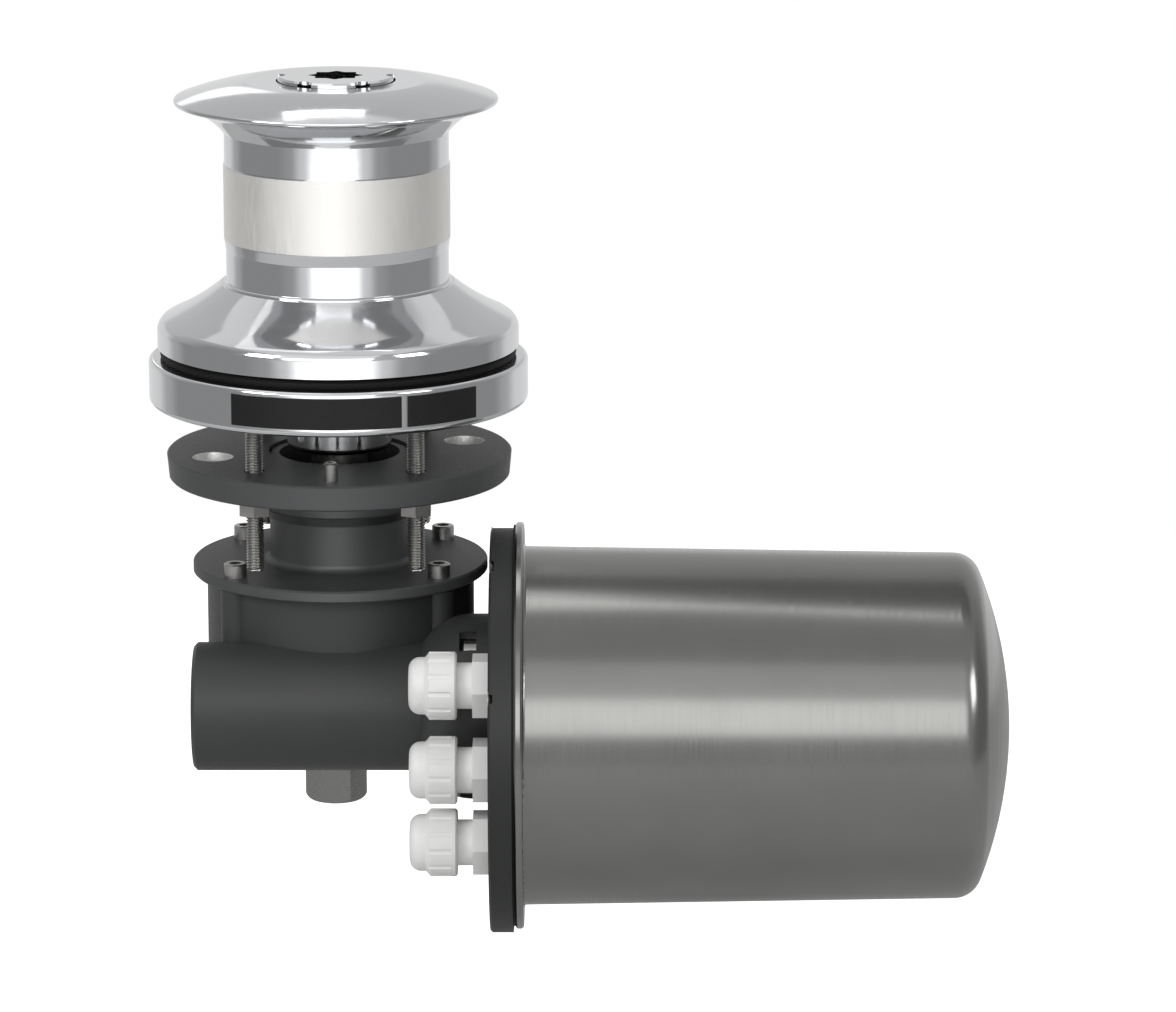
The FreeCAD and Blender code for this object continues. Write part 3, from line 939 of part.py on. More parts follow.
def make_motor():
    at_worm = dict(y="worm_y", z="worm_z", along="+X")
    turned("shaft_coupling", [
        ("worm_end_r + running_gap", "0"), ("coupling_r", "0"),
        ("coupling_r", "coupling_end_x - coupling_start_x"),
        ("motor_shaft_r + running_gap", "coupling_end_x - coupling_start_x"),
        ("motor_shaft_r + running_gap", "coupling_gap_x - coupling_start_x"),
        ("worm_end_r + running_gap", "coupling_gap_x - coupling_start_x")], x="coupling_start_x", **at_worm)
    rear_end = "rear_bearing_x + motor_bearing_wide"
    turned("motor_shaft", [
        ("0", "0"), ("motor_shaft_r", "0"),
        ("motor_shaft_r", "front_bearing_x + motor_bearing_wide - coupling_gap_x"),
        ("motor_shaft_r + 1", "front_bearing_x + motor_bearing_wide - coupling_gap_x"),
        ("motor_shaft_r + 1", "rear_bearing_x - coupling_gap_x"),
        ("motor_shaft_r", "rear_bearing_x - coupling_gap_x"),
        ("motor_shaft_r", rear_end + " - coupling_gap_x"),
        ("0", rear_end + " - coupling_gap_x")], x="coupling_gap_x", **at_worm)
    front = new_body("motor_front_bell")
    disc_end = "front_foot_len + front_bell_wide"
    hub_len = "front_bearing_x + motor_bearing_wide - front_face_x"
    seat = "front_bearing_x - front_face_x"
    turn(front, "front_turned", [
        ("coupling_r + 1", "0"), ("front_foot_r", "0"), ("front_foot_r", "front_foot_len"),
        ("front_bell_r", "front_foot_len"), ("front_bell_r", disc_end), ("front_hub_r", disc_end),
        ("front_hub_r", hub_len), ("motor_bearing_r", hub_len), ("motor_bearing_r", seat),
        ("coupling_r + 1", seat)])
    threads = [(z, y, "bell_bolt_r + thread_gap") for z, y, level in corners_of("bell_bolt_z",
                                                                                "bell_bolt_y", "0")]
    pull(front, "front_threads", [], "front_foot_len - 3", "front_foot_len", cut=True, circles=threads)
    # The tie bolts lie on a diagonal, between the magnets.
    ties = [("tie_bolt_side", "-tie_bolt_side"), ("-tie_bolt_side", "tie_bolt_side")]
    pull(front, "tie_threads", [], disc_end + " + 1", "front_bell_wide + 2", cut=True,
         circles=[(x, y, "tie_bolt_r + thread_gap") for x, y in ties])
    place(front, x="front_face_x", **at_worm)
    turned("motor_yoke", ring_outline("yoke_r - yoke_wall", "yoke_r", "0", "yoke_len"), x="yoke_start_x",
           **at_worm)
    magnets = new_body("field_magnets")
    arc = ring_outline("yoke_r - yoke_wall - magnet_thick", "yoke_r - yoke_wall",
                       "magnet_start", "magnet_start + magnet_len")
    magnet = turn(magnets, "magnet", arc, angle="magnet_span")
    magnet.Midplane = True
    repeat(magnets, "magnet_ring", [magnet], "4")
    place(magnets, x="yoke_start_x", **at_worm)
    core = new_body("armature_core")
    turn(core, "core_turned", ring_outline("motor_shaft_r + 1 + running_gap", "core_r", "0", "core_len"))
    slot = pull(core, "core_slot", [], "core_len + 1", "core_len + 2", cut=True,
                circles=[("core_r - slot_r * 0.8", "0", "slot_r")])
    repeat(core, "core_slots", [slot], "slot_count")
    place(core, x="core_start_x", **at_worm)
    winding = turned("winding_pattern", [
        ("winding_bore_r", "0.2"), ("winding_r", "0.2", "winding_len", 1),
        ("winding_r - winding_len", "winding_len"),
        ("winding_bore_r + 2", "winding_len"), ("winding_bore_r", "winding_len - 2")], node=False)
    join("armature_windings", [copy_of(winding, "core_start_x", "worm_y", "worm_z", "-X"),
                               copy_of(winding, "core_start_x + core_len", "worm_y", "worm_z", "+X")])
    commutator = new_body("commutator")
    turn(commutator, "commutator_turned", ring_outline("motor_shaft_r + 1 + running_gap", "commutator_r",
                                                       "0",
                                                       "commutator_len"))
    gap = pull(commutator, "segment_gap_cut", [square("1.6", "commutator_r", "0", "segment_gap")],
               "commutator_len + 1", "commutator_len - 1", cut=True)
    repeat(commutator, "segment_gaps", [gap], "segment_count")
    place(commutator, x="commutator_x", **at_worm)
    make_rear_bell(ties, at_worm)


def make_rear_bell(ties, at_worm):
    rear = new_body("motor_rear_bell")
    hub_end = "rear_bearing_x + motor_bearing_wide - rear_face_x"
    seat = "rear_bearing_x - rear_face_x"
    turn(rear, "rear_turned", [
        ("motor_shaft_r + 3", "0"), ("yoke_r", "0"), ("yoke_r", "rear_bell_wide"),
        ("rear_hub_r", "rear_bell_wide"),
        ("rear_hub_r", hub_end), ("motor_bearing_r", hub_end), ("motor_bearing_r", seat),
        ("motor_shaft_r + 3", seat)])
    pull(rear, "tie_holes", [], "rear_bell_wide + 1", "rear_bell_wide + 2", cut=True,
         circles=[(x, y, "tie_bolt_r + 0.2") for x, y in ties])
    holder_start = "commutator_r + brush_gap + 3"
    holder_x = "%s + brush_long / 2" % holder_start
    outer = square("brush_long", holder_x, "0", "brush_thick + 2 * holder_wall")
    inner = square("brush_long", holder_x, "0", "brush_thick + 2 * running_gap")
    reach = "rear_face_x - commutator_x - (commutator_len - brush_wide) / 2 + holder_wall"
    holder = pull(rear, "brush_holder", [outer], "0", reach, reverse=True)
    slot = pull(rear, "brush_slot", [inner], "-(%s) + holder_wall - running_gap" % reach,
                "brush_wide + 2 * running_gap", cut=True, reverse=True)
    repeat(rear, "brush_holders", [holder, slot], "4")
    place(rear, x="rear_face_x", **at_worm)
    brush = new_body("carbon_brushes")
    first = pull(brush, "brush", [square("brush_long", "commutator_r + brush_gap + brush_long / 2", "0",
                                         "brush_thick")],
                 "0", "brush_wide")
    repeat(brush, "brushes", [first], "4")
    place(brush, x="commutator_x + (commutator_len - brush_wide) / 2", **at_worm)
    tie_len = "rear_face_x + rear_bell_wide - front_disc_x"
    tie = socket_screw("tie_bolt_pattern", "tie_bolt_r", tie_len, "tie_head_r", "tie_head_tall")
    spots = [("rear_face_x + rear_bell_wide", "worm_y + " + y, "worm_z - (%s)" % x) for x, y in ties]
    copies("motor_tie_bolts", tie, spots, "+X")
    relay = new_body("motor_relay")
    turn(relay, "relay_turned", [("0", "0"), ("relay_r", "0"), ("relay_r", "relay_len - 1"),
                                 ("relay_r - 1", "relay_len"), ("0", "relay_len")])
    lugs = [("relay_pitch / 2", "0", "relay_lug_r"), ("-relay_pitch / 2", "0", "relay_lug_r")]
    pull(relay, "relay_lugs", [], "relay_len", "relay_lug_len", circles=lugs)
    foot_len = "relay_start_x - rear_face_x - rear_bell_wide"
    pull(relay, "relay_foot", [square("relay_r * 1.5")], "0", foot_len, reverse=True)
    place(relay, "relay_start_x", "worm_y + relay_y", "worm_z + relay_z", "+X")


# ---------------------------------------------------------------- cable glands

def make_glands():
    """Three equal glands; each one's own Z points out of the plate, towards -X."""
    neck_end = "gland_flange_len + gland_neck_len"
    cap_start = neck_end + " + gland_gap"
    cap_end = cap_start + " + gland_cap_len"
    nose_end = cap_end + " + gland_nose_len"
    inner = "gland_thread_r - gland_wall"
    tail = "plate_wide + gland_nut_len + 1"
    body = new_body("gland_body_pattern", node=False)
    turn(body, "gland_tube", [
        (inner, "-(%s)" % tail), ("gland_thread_r", "-(%s)" % tail),
        ("gland_thread_r", neck_end + " + gland_cap_len - 2"),
        (inner, neck_end + " + gland_cap_len - 2")])
    pull(body, "gland_hexagon", [hexagon("gland_flange_af")], "0", "gland_flange_len",
         circles=[("0", "0", inner)])
    cap = new_body("gland_cap_pattern", node=False)
    turn(cap, "cap_turned", [
        ("gland_thread_r + gland_gap", cap_start), ("gland_cap_r - 0.8", cap_start),
        ("gland_cap_r", cap_start + " + 0.8"),
        ("gland_cap_r", cap_end + " - 1.2"), ("gland_nose_r + 0.8", cap_end),
        ("gland_nose_r", cap_end + " + 0.8"), ("gland_nose_r", nose_end + " - gland_nose_curve_r",
                                               "gland_nose_curve_r", 1),
        ("gland_nose_r - gland_nose_curve_r", nose_end), ("gland_bore_r", nose_end),
        ("gland_bore_r", nose_end + " - 3"), ("gland_thread_r + gland_gap", cap_end + " - 1")])
    groove = pull(cap, "rib_groove", [], cap_end, "gland_cap_len - 2.5", cut=True,
                  circles=[("gland_cap_r + gland_rib_r * 0.55", "0", "gland_rib_r")])
    repeat(cap, "rib_grooves", [groove], "gland_rib_count")
    seal = turned("gland_seal_pattern", ring_outline("gland_bore_r",
                                                     "gland_bore_r + gland_seal_wall - gland_gap * 2",
                                                     neck_end, cap_end + " + gland_gap"), node=False)
    nut = new_body("gland_nut_pattern", node=False)
    pull(nut, "locknut_hexagon", [hexagon("gland_nut_af")], "-(plate_wide + gland_nut_len)", "gland_nut_len",
         circles=[("0", "0", "gland_thread_r + thread_gap")])
    spots = [("bell_face_x", "gland_y", z) for z in ("gland_top_z", "gland_mid_z", "gland_low_z")]
    copies("gland_bodies", body, spots, "-X")
    copies("gland_caps", cap, spots, "-X")
    copies("gland_seals", seal, spots, "-X")
    copies("gland_locknuts", nut, spots, "-X")


# ---------------------------------------------------------------- build, test and write

def find_faults():
    faults = []
    for thing in doc.Objects:
        if any(word in ("Invalid", "Error") for word in thing.State):
            faults.append("%s is %s" % (thing.Label, thing.State))
    for node in NODES:
        if node.Shape.isNull() or not node.Shape.Solids:
            faults.append(node.Label + " has no solid")
        elif not node.Shape.isValid():
            faults.append(node.Label + " has a bad shape")
    return faults


def main():
    make_drive_train()
    make_base()
    make_clamp()
    make_cover()
    make_housing()
    make_plug()
    make_worm()
    make_wheel()
    make_worm_closing()
    make_bearings()
    make_plate()
    make_can()
    make_motor()
    make_glands()
    doc.recompute()
    faults = find_faults()
    if faults:
        raise SystemExit("\n".join(faults))
    os.makedirs("parts", exist_ok=True)
    for node in NODES:
        node.Shape.exportStep("parts/%s.step" % node.Label)
        box = node.Shape.BoundBox
        print("%-26s solids %2d volume %10.1f x %.1f..%.1f y %.1f..%.1f z %.1f..%.1f" % (
            node.Label, len(node.Shape.Solids), node.Shape.Volume,
            box.XMin, box.XMax, box.YMin, box.YMax, box.ZMin, box.ZMax))
    print("nodes", len(NODES))


main()
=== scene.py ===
"""Deck capstan: finishes, screw threads, light, floor and camera, in metres in the part's own frame."""
import bpy
import bmesh
import json
import math
from mathutils import Matrix, Vector


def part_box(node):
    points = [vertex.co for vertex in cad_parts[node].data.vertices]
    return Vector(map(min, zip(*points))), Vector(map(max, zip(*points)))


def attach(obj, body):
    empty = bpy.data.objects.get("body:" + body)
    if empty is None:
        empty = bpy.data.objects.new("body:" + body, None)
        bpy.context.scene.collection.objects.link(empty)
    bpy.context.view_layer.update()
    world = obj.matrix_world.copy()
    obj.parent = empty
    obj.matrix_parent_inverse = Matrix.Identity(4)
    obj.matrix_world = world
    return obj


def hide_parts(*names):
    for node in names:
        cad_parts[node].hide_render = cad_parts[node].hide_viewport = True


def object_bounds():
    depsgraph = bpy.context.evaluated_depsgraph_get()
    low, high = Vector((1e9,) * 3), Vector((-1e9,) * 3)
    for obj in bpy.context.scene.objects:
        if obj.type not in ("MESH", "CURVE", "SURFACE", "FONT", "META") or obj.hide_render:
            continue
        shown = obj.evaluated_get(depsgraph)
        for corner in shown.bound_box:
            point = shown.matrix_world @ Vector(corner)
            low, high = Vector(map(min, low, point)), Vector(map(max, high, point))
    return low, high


MM = 0.001
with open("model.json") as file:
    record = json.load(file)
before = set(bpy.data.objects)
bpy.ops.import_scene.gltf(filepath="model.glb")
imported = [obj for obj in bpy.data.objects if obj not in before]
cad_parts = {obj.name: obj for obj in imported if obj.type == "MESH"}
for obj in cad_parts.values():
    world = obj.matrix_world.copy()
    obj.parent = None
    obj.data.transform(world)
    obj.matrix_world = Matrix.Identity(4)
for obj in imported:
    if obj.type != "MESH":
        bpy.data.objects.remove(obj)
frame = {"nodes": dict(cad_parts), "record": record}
cad_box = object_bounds()


# ---------------------------------------------------------------- node helpers

NOISE_RANGE = 0.3, 0.7               # where nearly all the values of a noise lie
COLOUR_MIX = 0, 6, 7                 # sockets of a colour mix: factor, first colour, second colour
COLOUR_MIX_RESULT = 2
FLOAT_MIX = 0, 2, 3                  # sockets of a mix of numbers: factor, first, second
FLOAT_MIX_RESULT = 0


def linear(hex_colour):
    """Linear colour from an sRGB hex value."""
    channels = [int(hex_colour[index:index + 2], 16) / 255 for index in (1, 3, 5)]
    return [c / 12.92 if c <= 0.04045 else ((c + 0.055) / 1.055) ** 2.4 for c in channels] + [1.0]


def grey(brightness):
    """A grey of that linear brightness."""
    return (brightness, brightness, brightness, 1)


def add_node(tree, kind, inputs=None, **settings):
    """Adds one node. The inputs are links from other nodes, or values; the settings are its attributes."""
    node = tree.nodes.new(kind)
    for name, value in settings.items():
        setattr(node, name, value)
    for name, source in (inputs or {}).items():
        if isinstance(source, bpy.types.NodeSocket):
            tree.links.new(source, node.inputs[name])
        else:
            node.inputs[name].default_value = source
    return node


def arithmetic(tree, operation, first, second=None):
    """The result of one step of arithmetic on links or numbers."""
    inputs = {0: first} if second is None else {0: first, 1: second}
    return add_node(tree, "ShaderNodeMath", inputs, operation=operation).outputs["Value"]


def map_range(tree, source, start, end, low=0.0, high=1.0, **settings):
    """Start to end becomes low to high, and stays there beyond."""
    inputs = {"Value": source, "From Min": start, "From Max": end, "To Min": low, "To Max": high}
    return add_node(tree, "ShaderNodeMapRange", inputs, **settings).outputs["Result"]


def mix_colours(tree, factor, first, second, **settings):
    node = add_node(tree, "ShaderNodeMix", dict(zip(COLOUR_MIX, (factor, first, second))),
                    data_type="RGBA", **settings)
    return node.outputs[COLOUR_MIX_RESULT]


def mix_numbers(tree, factor, first, second):
    node = add_node(tree, "ShaderNodeMix", dict(zip(FLOAT_MIX, (factor, first, second))), data_type="FLOAT")
    return node.outputs[FLOAT_MIX_RESULT]


def axes(tree, way):
    """The three coordinates of a vector, by letter."""
    return add_node(tree, "ShaderNodeSeparateXYZ", {"Vector": way}).outputs


# ---------------------------------------------------------------- materials

def new_material(name, **constants):
    """An empty material with its shader, its output and the object's own coordinates."""
    material = bpy.data.materials.new(name)
    material.use_nodes = True
    tree = material.node_tree
    tree.nodes.clear()
    output = add_node(tree, "ShaderNodeOutputMaterial")
    shader = add_node(tree, "ShaderNodeBsdfPrincipled",
                      {socket.replace("_", " "): value for socket, value in constants.items()})
    tree.links.new(shader.outputs["BSDF"], output.inputs["Surface"])
    place = add_node(tree, "ShaderNodeTexCoord").outputs["Object"]
    return material, tree, shader, place


def noise(tree, place, grain_mm, detail=2.0, stretch=(1, 1, 1)):
    """Noise whose grains are about that many millimetres across, drawn out by the stretch on each axis."""
    scale = [1 / (grain_mm * MM * length) for length in stretch]
    mapped = add_node(tree, "ShaderNodeMapping", {"Vector": place, "Scale": scale})
    return add_node(tree, "ShaderNodeTexNoise", {"Vector": mapped.outputs["Vector"], "Scale": 1.0,
                                                 "Detail": detail}).outputs["Fac"]


def spread(tree, source, low, high):
    """Noise spread over the range given."""
    return map_range(tree, source, *NOISE_RANGE, low, high)


def gloss(tree, shader, source, low, high):
    """Roughness from low to high, after a noise."""
    tree.links.new(spread(tree, source, low, high), shader.inputs["Roughness"])


def tone(tree, shader, source, low, high):
    """Base colour between two near tones, after a noise."""
    ramp = add_node(tree, "ShaderNodeValToRGB", {"Fac": source})
    ramp.color_ramp.elements[0].color = linear(low)
    ramp.color_ramp.elements[1].color = linear(high)
    tree.links.new(ramp.outputs["Color"], shader.inputs["Base Color"])


def roughen(tree, shader, height, depth_mm, strength):
    """Bump from a height of 0 to 1, that deep."""
    bump = add_node(tree, "ShaderNodeBump",
                    {"Height": height, "Strength": strength, "Distance": depth_mm * MM})
    tree.links.new(bump.outputs["Normal"], shader.inputs["Normal"])


CHROME_COLOUR = "#dcdddf"
CHROME_GLOSS = 0.06, 0.11
WIPE_GRAIN, WIPE_STRETCH = 9.0, (1, 1, 0.25)

BAND_LOW, BAND_HIGH, BAND_EDGE = 73.4, 106.3, 0.2        # heights on the drum, in mm
BAND_COLOUR = "#f4f3f0"
BAND_GLOSS = 0.46, 0.58

HOLE_CENTRE, HOLE_R, HOLE_MARGIN = (55.46, 16.96), 9, 0.1   # the clamp flange's round holes, in mm
BARE_COLOUR = "#ececea"


def wiping_marks(tree, place):
    return noise(tree, place, WIPE_GRAIN, 3.0, WIPE_STRETCH)


def chrome_plate():
    """Bright chrome over polished bronze: mirror clear, with faint wiping marks in its gloss."""
    material, tree, shader, place = new_material("bright chrome plate", Base_Color=linear(CHROME_COLOUR),
                                                 Metallic=1.0)
    gloss(tree, shader, wiping_marks(tree, place), *CHROME_GLOSS)
    return material


def drum_chrome():
    """Chrome of the drum, with the rope band left satin by fine upright grinding, so that it grips."""
    material, tree, shader, place = new_material("chrome plate with satin ground band", Metallic=1.0)
    height, edge = axes(tree, place)["Z"], BAND_EDGE * MM
    above = map_range(tree, height, BAND_LOW * MM - edge, BAND_LOW * MM + edge)
    below = map_range(tree, height, BAND_HIGH * MM + edge, BAND_HIGH * MM - edge)
    band = arithmetic(tree, "MULTIPLY", above, below)
    wipes = spread(tree, wiping_marks(tree, place), *CHROME_GLOSS)
    grinding = noise(tree, place, 0.5, 2.0, (1, 1, 24))
    satin = spread(tree, grinding, *BAND_GLOSS)
    tree.links.new(mix_numbers(tree, band, wipes, satin), shader.inputs["Roughness"])
    tree.links.new(mix_colours(tree, band, linear(CHROME_COLOUR), linear(BAND_COLOUR)),
                   shader.inputs["Base Color"])
    roughen(tree, shader, arithmetic(tree, "MULTIPLY", band, grinding), 0.02, 0.5)
    return material


def brushed_stainless():
    """Stainless steel sheet, brushed round the can: fine hoops break the reflections into soft bands."""
    material, tree, shader, place = new_material("brushed stainless steel", Metallic=1.0)
    hoops = noise(tree, place, 0.35, 3.0, (1, 90, 90))
    cloud = noise(tree, place, 22.0, 3.0, (1.6, 1, 1))
    tone(tree, shader, cloud, "#8b8b89", "#959593")
    gloss(tree, shader, hoops, 0.17, 0.25)
    roughen(tree, shader, hoops, 0.006, 0.35)
    return material


def turned_stainless():
    """Stainless bar, turned and left bright: a clear but soft reflection with faint tool marks."""
    material, tree, shader, place = new_material("turned stainless steel", Metallic=1.0,
                                                 Base_Color=linear("#8e8e8c"))
    marks = noise(tree, place, 0.4, 2.0, (8, 8, 1))
    gloss(tree, shader, marks, 0.18, 0.3)
    roughen(tree, shader, marks, 0.015, 0.4)
    return material


def powder_coat(name="black powder coat on casting", low="#343535", high="#3a3b3c"):
    """Black polyester powder coat on cast aluminium: a low orange-peel texture and a broad soft sheen."""
    material, tree, shader, place = new_material(name, IOR=1.5)
    tone(tree, shader, noise(tree, place, 30.0, 2.0), low, high)
    peel = noise(tree, place, 0.9, 3.0)
    gloss(tree, shader, peel, 0.42, 0.56)
    roughen(tree, shader, peel, 0.05, 0.35)
    return material


def drilled_casting():
    """The powder coat of the castings, but bare in the two round holes, which are drilled after coating."""
    material = powder_coat("black powder coat, drilled bare")
    tree = material.node_tree
    shader = tree.nodes["Principled BSDF"]
    place = tree.nodes["Texture Coordinate"].outputs["Object"]
    level = add_node(tree, "ShaderNodeVectorMath", {0: place, 1: (1, 1, 0)}, operation="MULTIPLY")
    distances = []
    for side in (1, -1):
        centre = [side * value * MM for value in HOLE_CENTRE] + [0]
        away = add_node(tree, "ShaderNodeVectorMath", {0: level.outputs["Vector"], 1: centre},
                        operation="DISTANCE")
        distances.append(away.outputs["Value"])
    nearest = arithmetic(tree, "MINIMUM", *distances)
    bare = arithmetic(tree, "LESS_THAN", nearest, (HOLE_R + HOLE_MARGIN) * MM)
    coat = shader.inputs["Base Color"].links[0].from_socket
    tree.links.new(mix_colours(tree, bare, coat, linear(BARE_COLOUR)), shader.inputs["Base Color"])
    tree.links.new(bare, shader.inputs["Metallic"])
    return material


def zinc_steel():
    """Zinc plated steel: pale grey, half bright, with a faint mottle from the plating bath."""
    material, tree, shader, place = new_material("zinc plated steel", Metallic=1.0)
    mottle = noise(tree, place, 2.5, 4.0)
    tone(tree, shader, mottle, "#a9a8a6", "#b8b7b4")
    gloss(tree, shader, mottle, 0.26, 0.4)
    return material


def ground_steel():
    """Ground bearing steel: fine even grinding, bright."""
    material, tree, shader, place = new_material("ground bearing steel", Metallic=1.0)
    grinding = noise(tree, place, 0.4, 2.0)
    tone(tree, shader, grinding, "#a8a8aa", "#b4b4b6")
    gloss(tree, shader, grinding, 0.14, 0.22)
    return material


def machined_bronze():
    """Machined gunmetal bronze: warm, half bright, with fine tool marks."""
    material, tree, shader, place = new_material("machined bronze", Metallic=1.0)
    marks = noise(tree, place, 0.6, 2.0, (6, 6, 1))
    tone(tree, shader, marks, "#b8895a", "#c99c68")
    gloss(tree, shader, marks, 0.25, 0.36)
    return material


def enamelled_copper():
    """Enamelled copper wire, seen as a close-wound bundle: red-brown gloss with fine strands."""
    material, tree, shader, place = new_material("enamelled copper wire", Metallic=0.8)
    strands = noise(tree, place, 0.8, 2.0, (1, 1, 6))
    tone(tree, shader, strands, "#8a4a2a", "#b4683c")
    gloss(tree, shader, strands, 0.2, 0.4)
    roughen(tree, shader, strands, 0.2, 0.6)
    return material


TONE_GRAIN = 12                      # patches of tone to one grain of a moulded surface


def moulded(name, low, high, grain_mm, rough_low, rough_high, depth_mm=0.02, **constants):
    """A moulded or pressed material: two near tones, a grain in its gloss and a light bump of that grain."""
    material, tree, shader, place = new_material(name, **constants)
    grain = noise(tree, place, grain_mm, 3.0)
    tone(tree, shader, noise(tree, place, grain_mm * TONE_GRAIN, 2.0), low, high)
    gloss(tree, shader, grain, rough_low, rough_high)
    roughen(tree, shader, grain, depth_mm, 0.4)
    return material


CHROME = chrome_plate()
DRUM = drum_chrome()
CAN_STEEL = brushed_stainless()
PLUG_STEEL = turned_stainless()
COATING = powder_coat()
DRILLED = drilled_casting()
# The motor plate's own coat is a deeper black than that of the castings.
PLATE_COATING = powder_coat("deep black powder coat on plate", "#1e1f1f", "#232424")
ZINC = zinc_steel()
GROUND = ground_steel()
BRONZE = machined_bronze()
COPPER = enamelled_copper()
# Moulded polyamide, light grey: a waxy sheen and a little light let in below the surface.
NYLON = moulded("moulded light grey nylon", "#e4e4e2", "#eaeae8", 0.5, 0.36, 0.48, 0.015,
                Subsurface_Weight=0.15, Subsurface_Radius=(1.0, 1.0, 1.0), Subsurface_Scale=1.0 * MM)
# Nitrile rubber: near black, dull, faintly bloomed.
RUBBER = moulded("moulded nitrile rubber", "#070707", "#0e0e0e", 0.4, 0.55, 0.7, Specular_IOR_Level=0.25)
# Spring steel, blackened with phosphate: dark grey, silky.
BLACK_STEEL = moulded("phosphated spring steel", "#2c2d2e", "#353637", 0.3, 0.3, 0.42, 0.006)
# Anodised aluminium plate: deep black with a low even sheen.
BLACK_PLATE = moulded("black anodised aluminium plate", "#0b0b0c", "#101011", 0.2, 0.24, 0.32, 0.004)
# Sand-cast aluminium, left as cast.
CAST_ALUMINIUM = moulded("sand cast aluminium", "#9a9b9c", "#a8a9aa", 0.8, 0.45, 0.6, 0.05)
# Sintered ferrite: dark grey, matt.
FERRITE = moulded("sintered ferrite", "#2c2b2b", "#353434", 0.3, 0.55, 0.7)
# Pressed carbon: black, slightly silky.
CARBON = moulded("pressed carbon", "#151515", "#1c1c1c", 0.2, 0.35, 0.5)
# Phenolic moulding: black-brown, semi gloss.
PHENOLIC = moulded("moulded phenolic", "#1a1716", "#211d1b", 0.6, 0.3, 0.42)

FINISHES = {
    "polished_chrome": CHROME, "bronze": BRONZE, "steel": ZINC, "stainless": CAN_STEEL,
    "black_casting": COATING, "cast_aluminium": CAST_ALUMINIUM, "black_rubber": RUBBER,
    "white_nylon": NYLON, "black_plate": BLACK_PLATE, "ferrite": FERRITE, "copper": COPPER,
    "carbon": CARBON, "relay_plastic": PHENOLIC,
}
OWN_FINISHES = {
    "rope_drum": DRUM, "bottom_plug": PLUG_STEEL, "clamp_flange": DRILLED, "motor_plate": PLATE_COATING,
    "neck_retaining_ring": BLACK_STEEL,
}


def finish_nodes():
    """Gives every node its own finish, or that of its slot. Every piece of a bearing is ground steel."""
    slots = {entry["node"]: entry["material_slot"] for entry in frame["record"]["subparts"]}
    for name, node in frame["nodes"].items():
        material = GROUND if "bearing" in name else OWN_FINISHES.get(name, FINISHES[slots[name]])
        node.data.materials.clear()
        node.data.materials.append(material)


# ---------------------------------------------------------------- finely turned chrome parts

ARC_STEP = 4                         # degrees of an arc to one step
MIN_ARC_STEPS = 4
LINE_HOLD = 0.4                      # mm from the ends of a run to the points that hold its middle true
TURN_STEPS = 288
WELD = 0.5e-6
TURNING_CREASE, THREAD_CREASE = 20, 30            # degrees, above which an edge stays sharp
TOOL_SIDES = 64

# Outlines in mm: (radius, height), and after them an arc's own radius and side, where an arc runs from
# there to the next corner.
DRUM_OUTLINE = [
    (75.3, 25), (80.3, 25), (80.3, 33, 6.5, 1),                                # the skirt's rim
    (77.4, 37.4, 110, -1), (51.9, 53.2), (50.7, 53.2, 1.4, 1), (49.3, 54.6),   # its cone and root
    (49.3, 68.2), (50.1, 73.4), (50.1, 106.3), (49.6, 106.8),                  # the rope band
    (49.6, 120.5, 34, -1), (71.1, 133.6, 1.2, 1), (71.1, 135.4, 130, 1),       # the flare and the top's edge
    (40, 143), (26.4, 143), (26.4, 138.8), (30.8, 138.8),                      # the recess of the clutch nut
    (30.8, 134), (26, 118), (17.1, 118), (17.1, 107.8), (13.2, 107.8),         # the upper clutch seat, bore
    (13.2, 86), (28, 86), (34, 66), (42.8, 66), (42.8, 48.1), (75.3, 33),      # the lower seat, the hollow
]
BASE_OUTLINE = [
    (18.5, -21.8), (20.4, -21.8, 3, 1), (23.4, -18.8), (23.4, 0),              # the spigot
    (81.7, 0, 2.6, 1), (84.3, 2.6), (84.3, 18, 2, 1), (82.3, 20),              # the rim
    (71.3, 20), (71.3, 8), (22, 8), (22, 57.6),                                # the pan and the hub
    (16, 57.6), (16, 31.6), (13.5, 31.6), (13.5, -14.8), (18.5, -14.8),        # the seats of bush and seal
]
STUD_X, STUD_Y, STUD_R = 35.46, 45.39, 4.0                                     # mm, as are the four below
BOSS_R, BOSS_LOW, BOSS_TOP = 8.8, 7, 16
STUD_HOLE_R, STUD_HOLE_LOW, STUD_HOLE_TOP = 4.15, -1, 12


def arc_points(start, end, radius, side):
    """Points from start to short of end on an arc that turns left for side 1 and right for side -1."""
    start, end = Vector(start), Vector(end)
    chord = end - start
    left = Vector((-chord.y, chord.x)).normalized()
    rise = math.sqrt(max(0.0, radius * radius - chord.length_squared / 4))
    centre = (start + end) / 2 + side * rise * left
    first = math.atan2(start.y - centre.y, start.x - centre.x)
    sweep = 2 * math.asin(min(1.0, chord.length / 2 / radius))
    steps = max(MIN_ARC_STEPS, math.ceil(math.degrees(sweep) / ARC_STEP))
    turns = [first + side * sweep * step / steps for step in range(steps)]
    return [(centre.x + radius * math.cos(turn), centre.y + radius * math.sin(turn)) for turn in turns]


def line_points(start, end):
    """The start of a straight run, and a point near each end of a long one, which keeps its middle true."""
    run = Vector(end) - Vector(start)
    if run.length < 4 * LINE_HOLD:
        return [start]
    step = run.normalized() * LINE_HOLD
    return [start, tuple(Vector(start) + step), tuple(Vector(end) - step)]


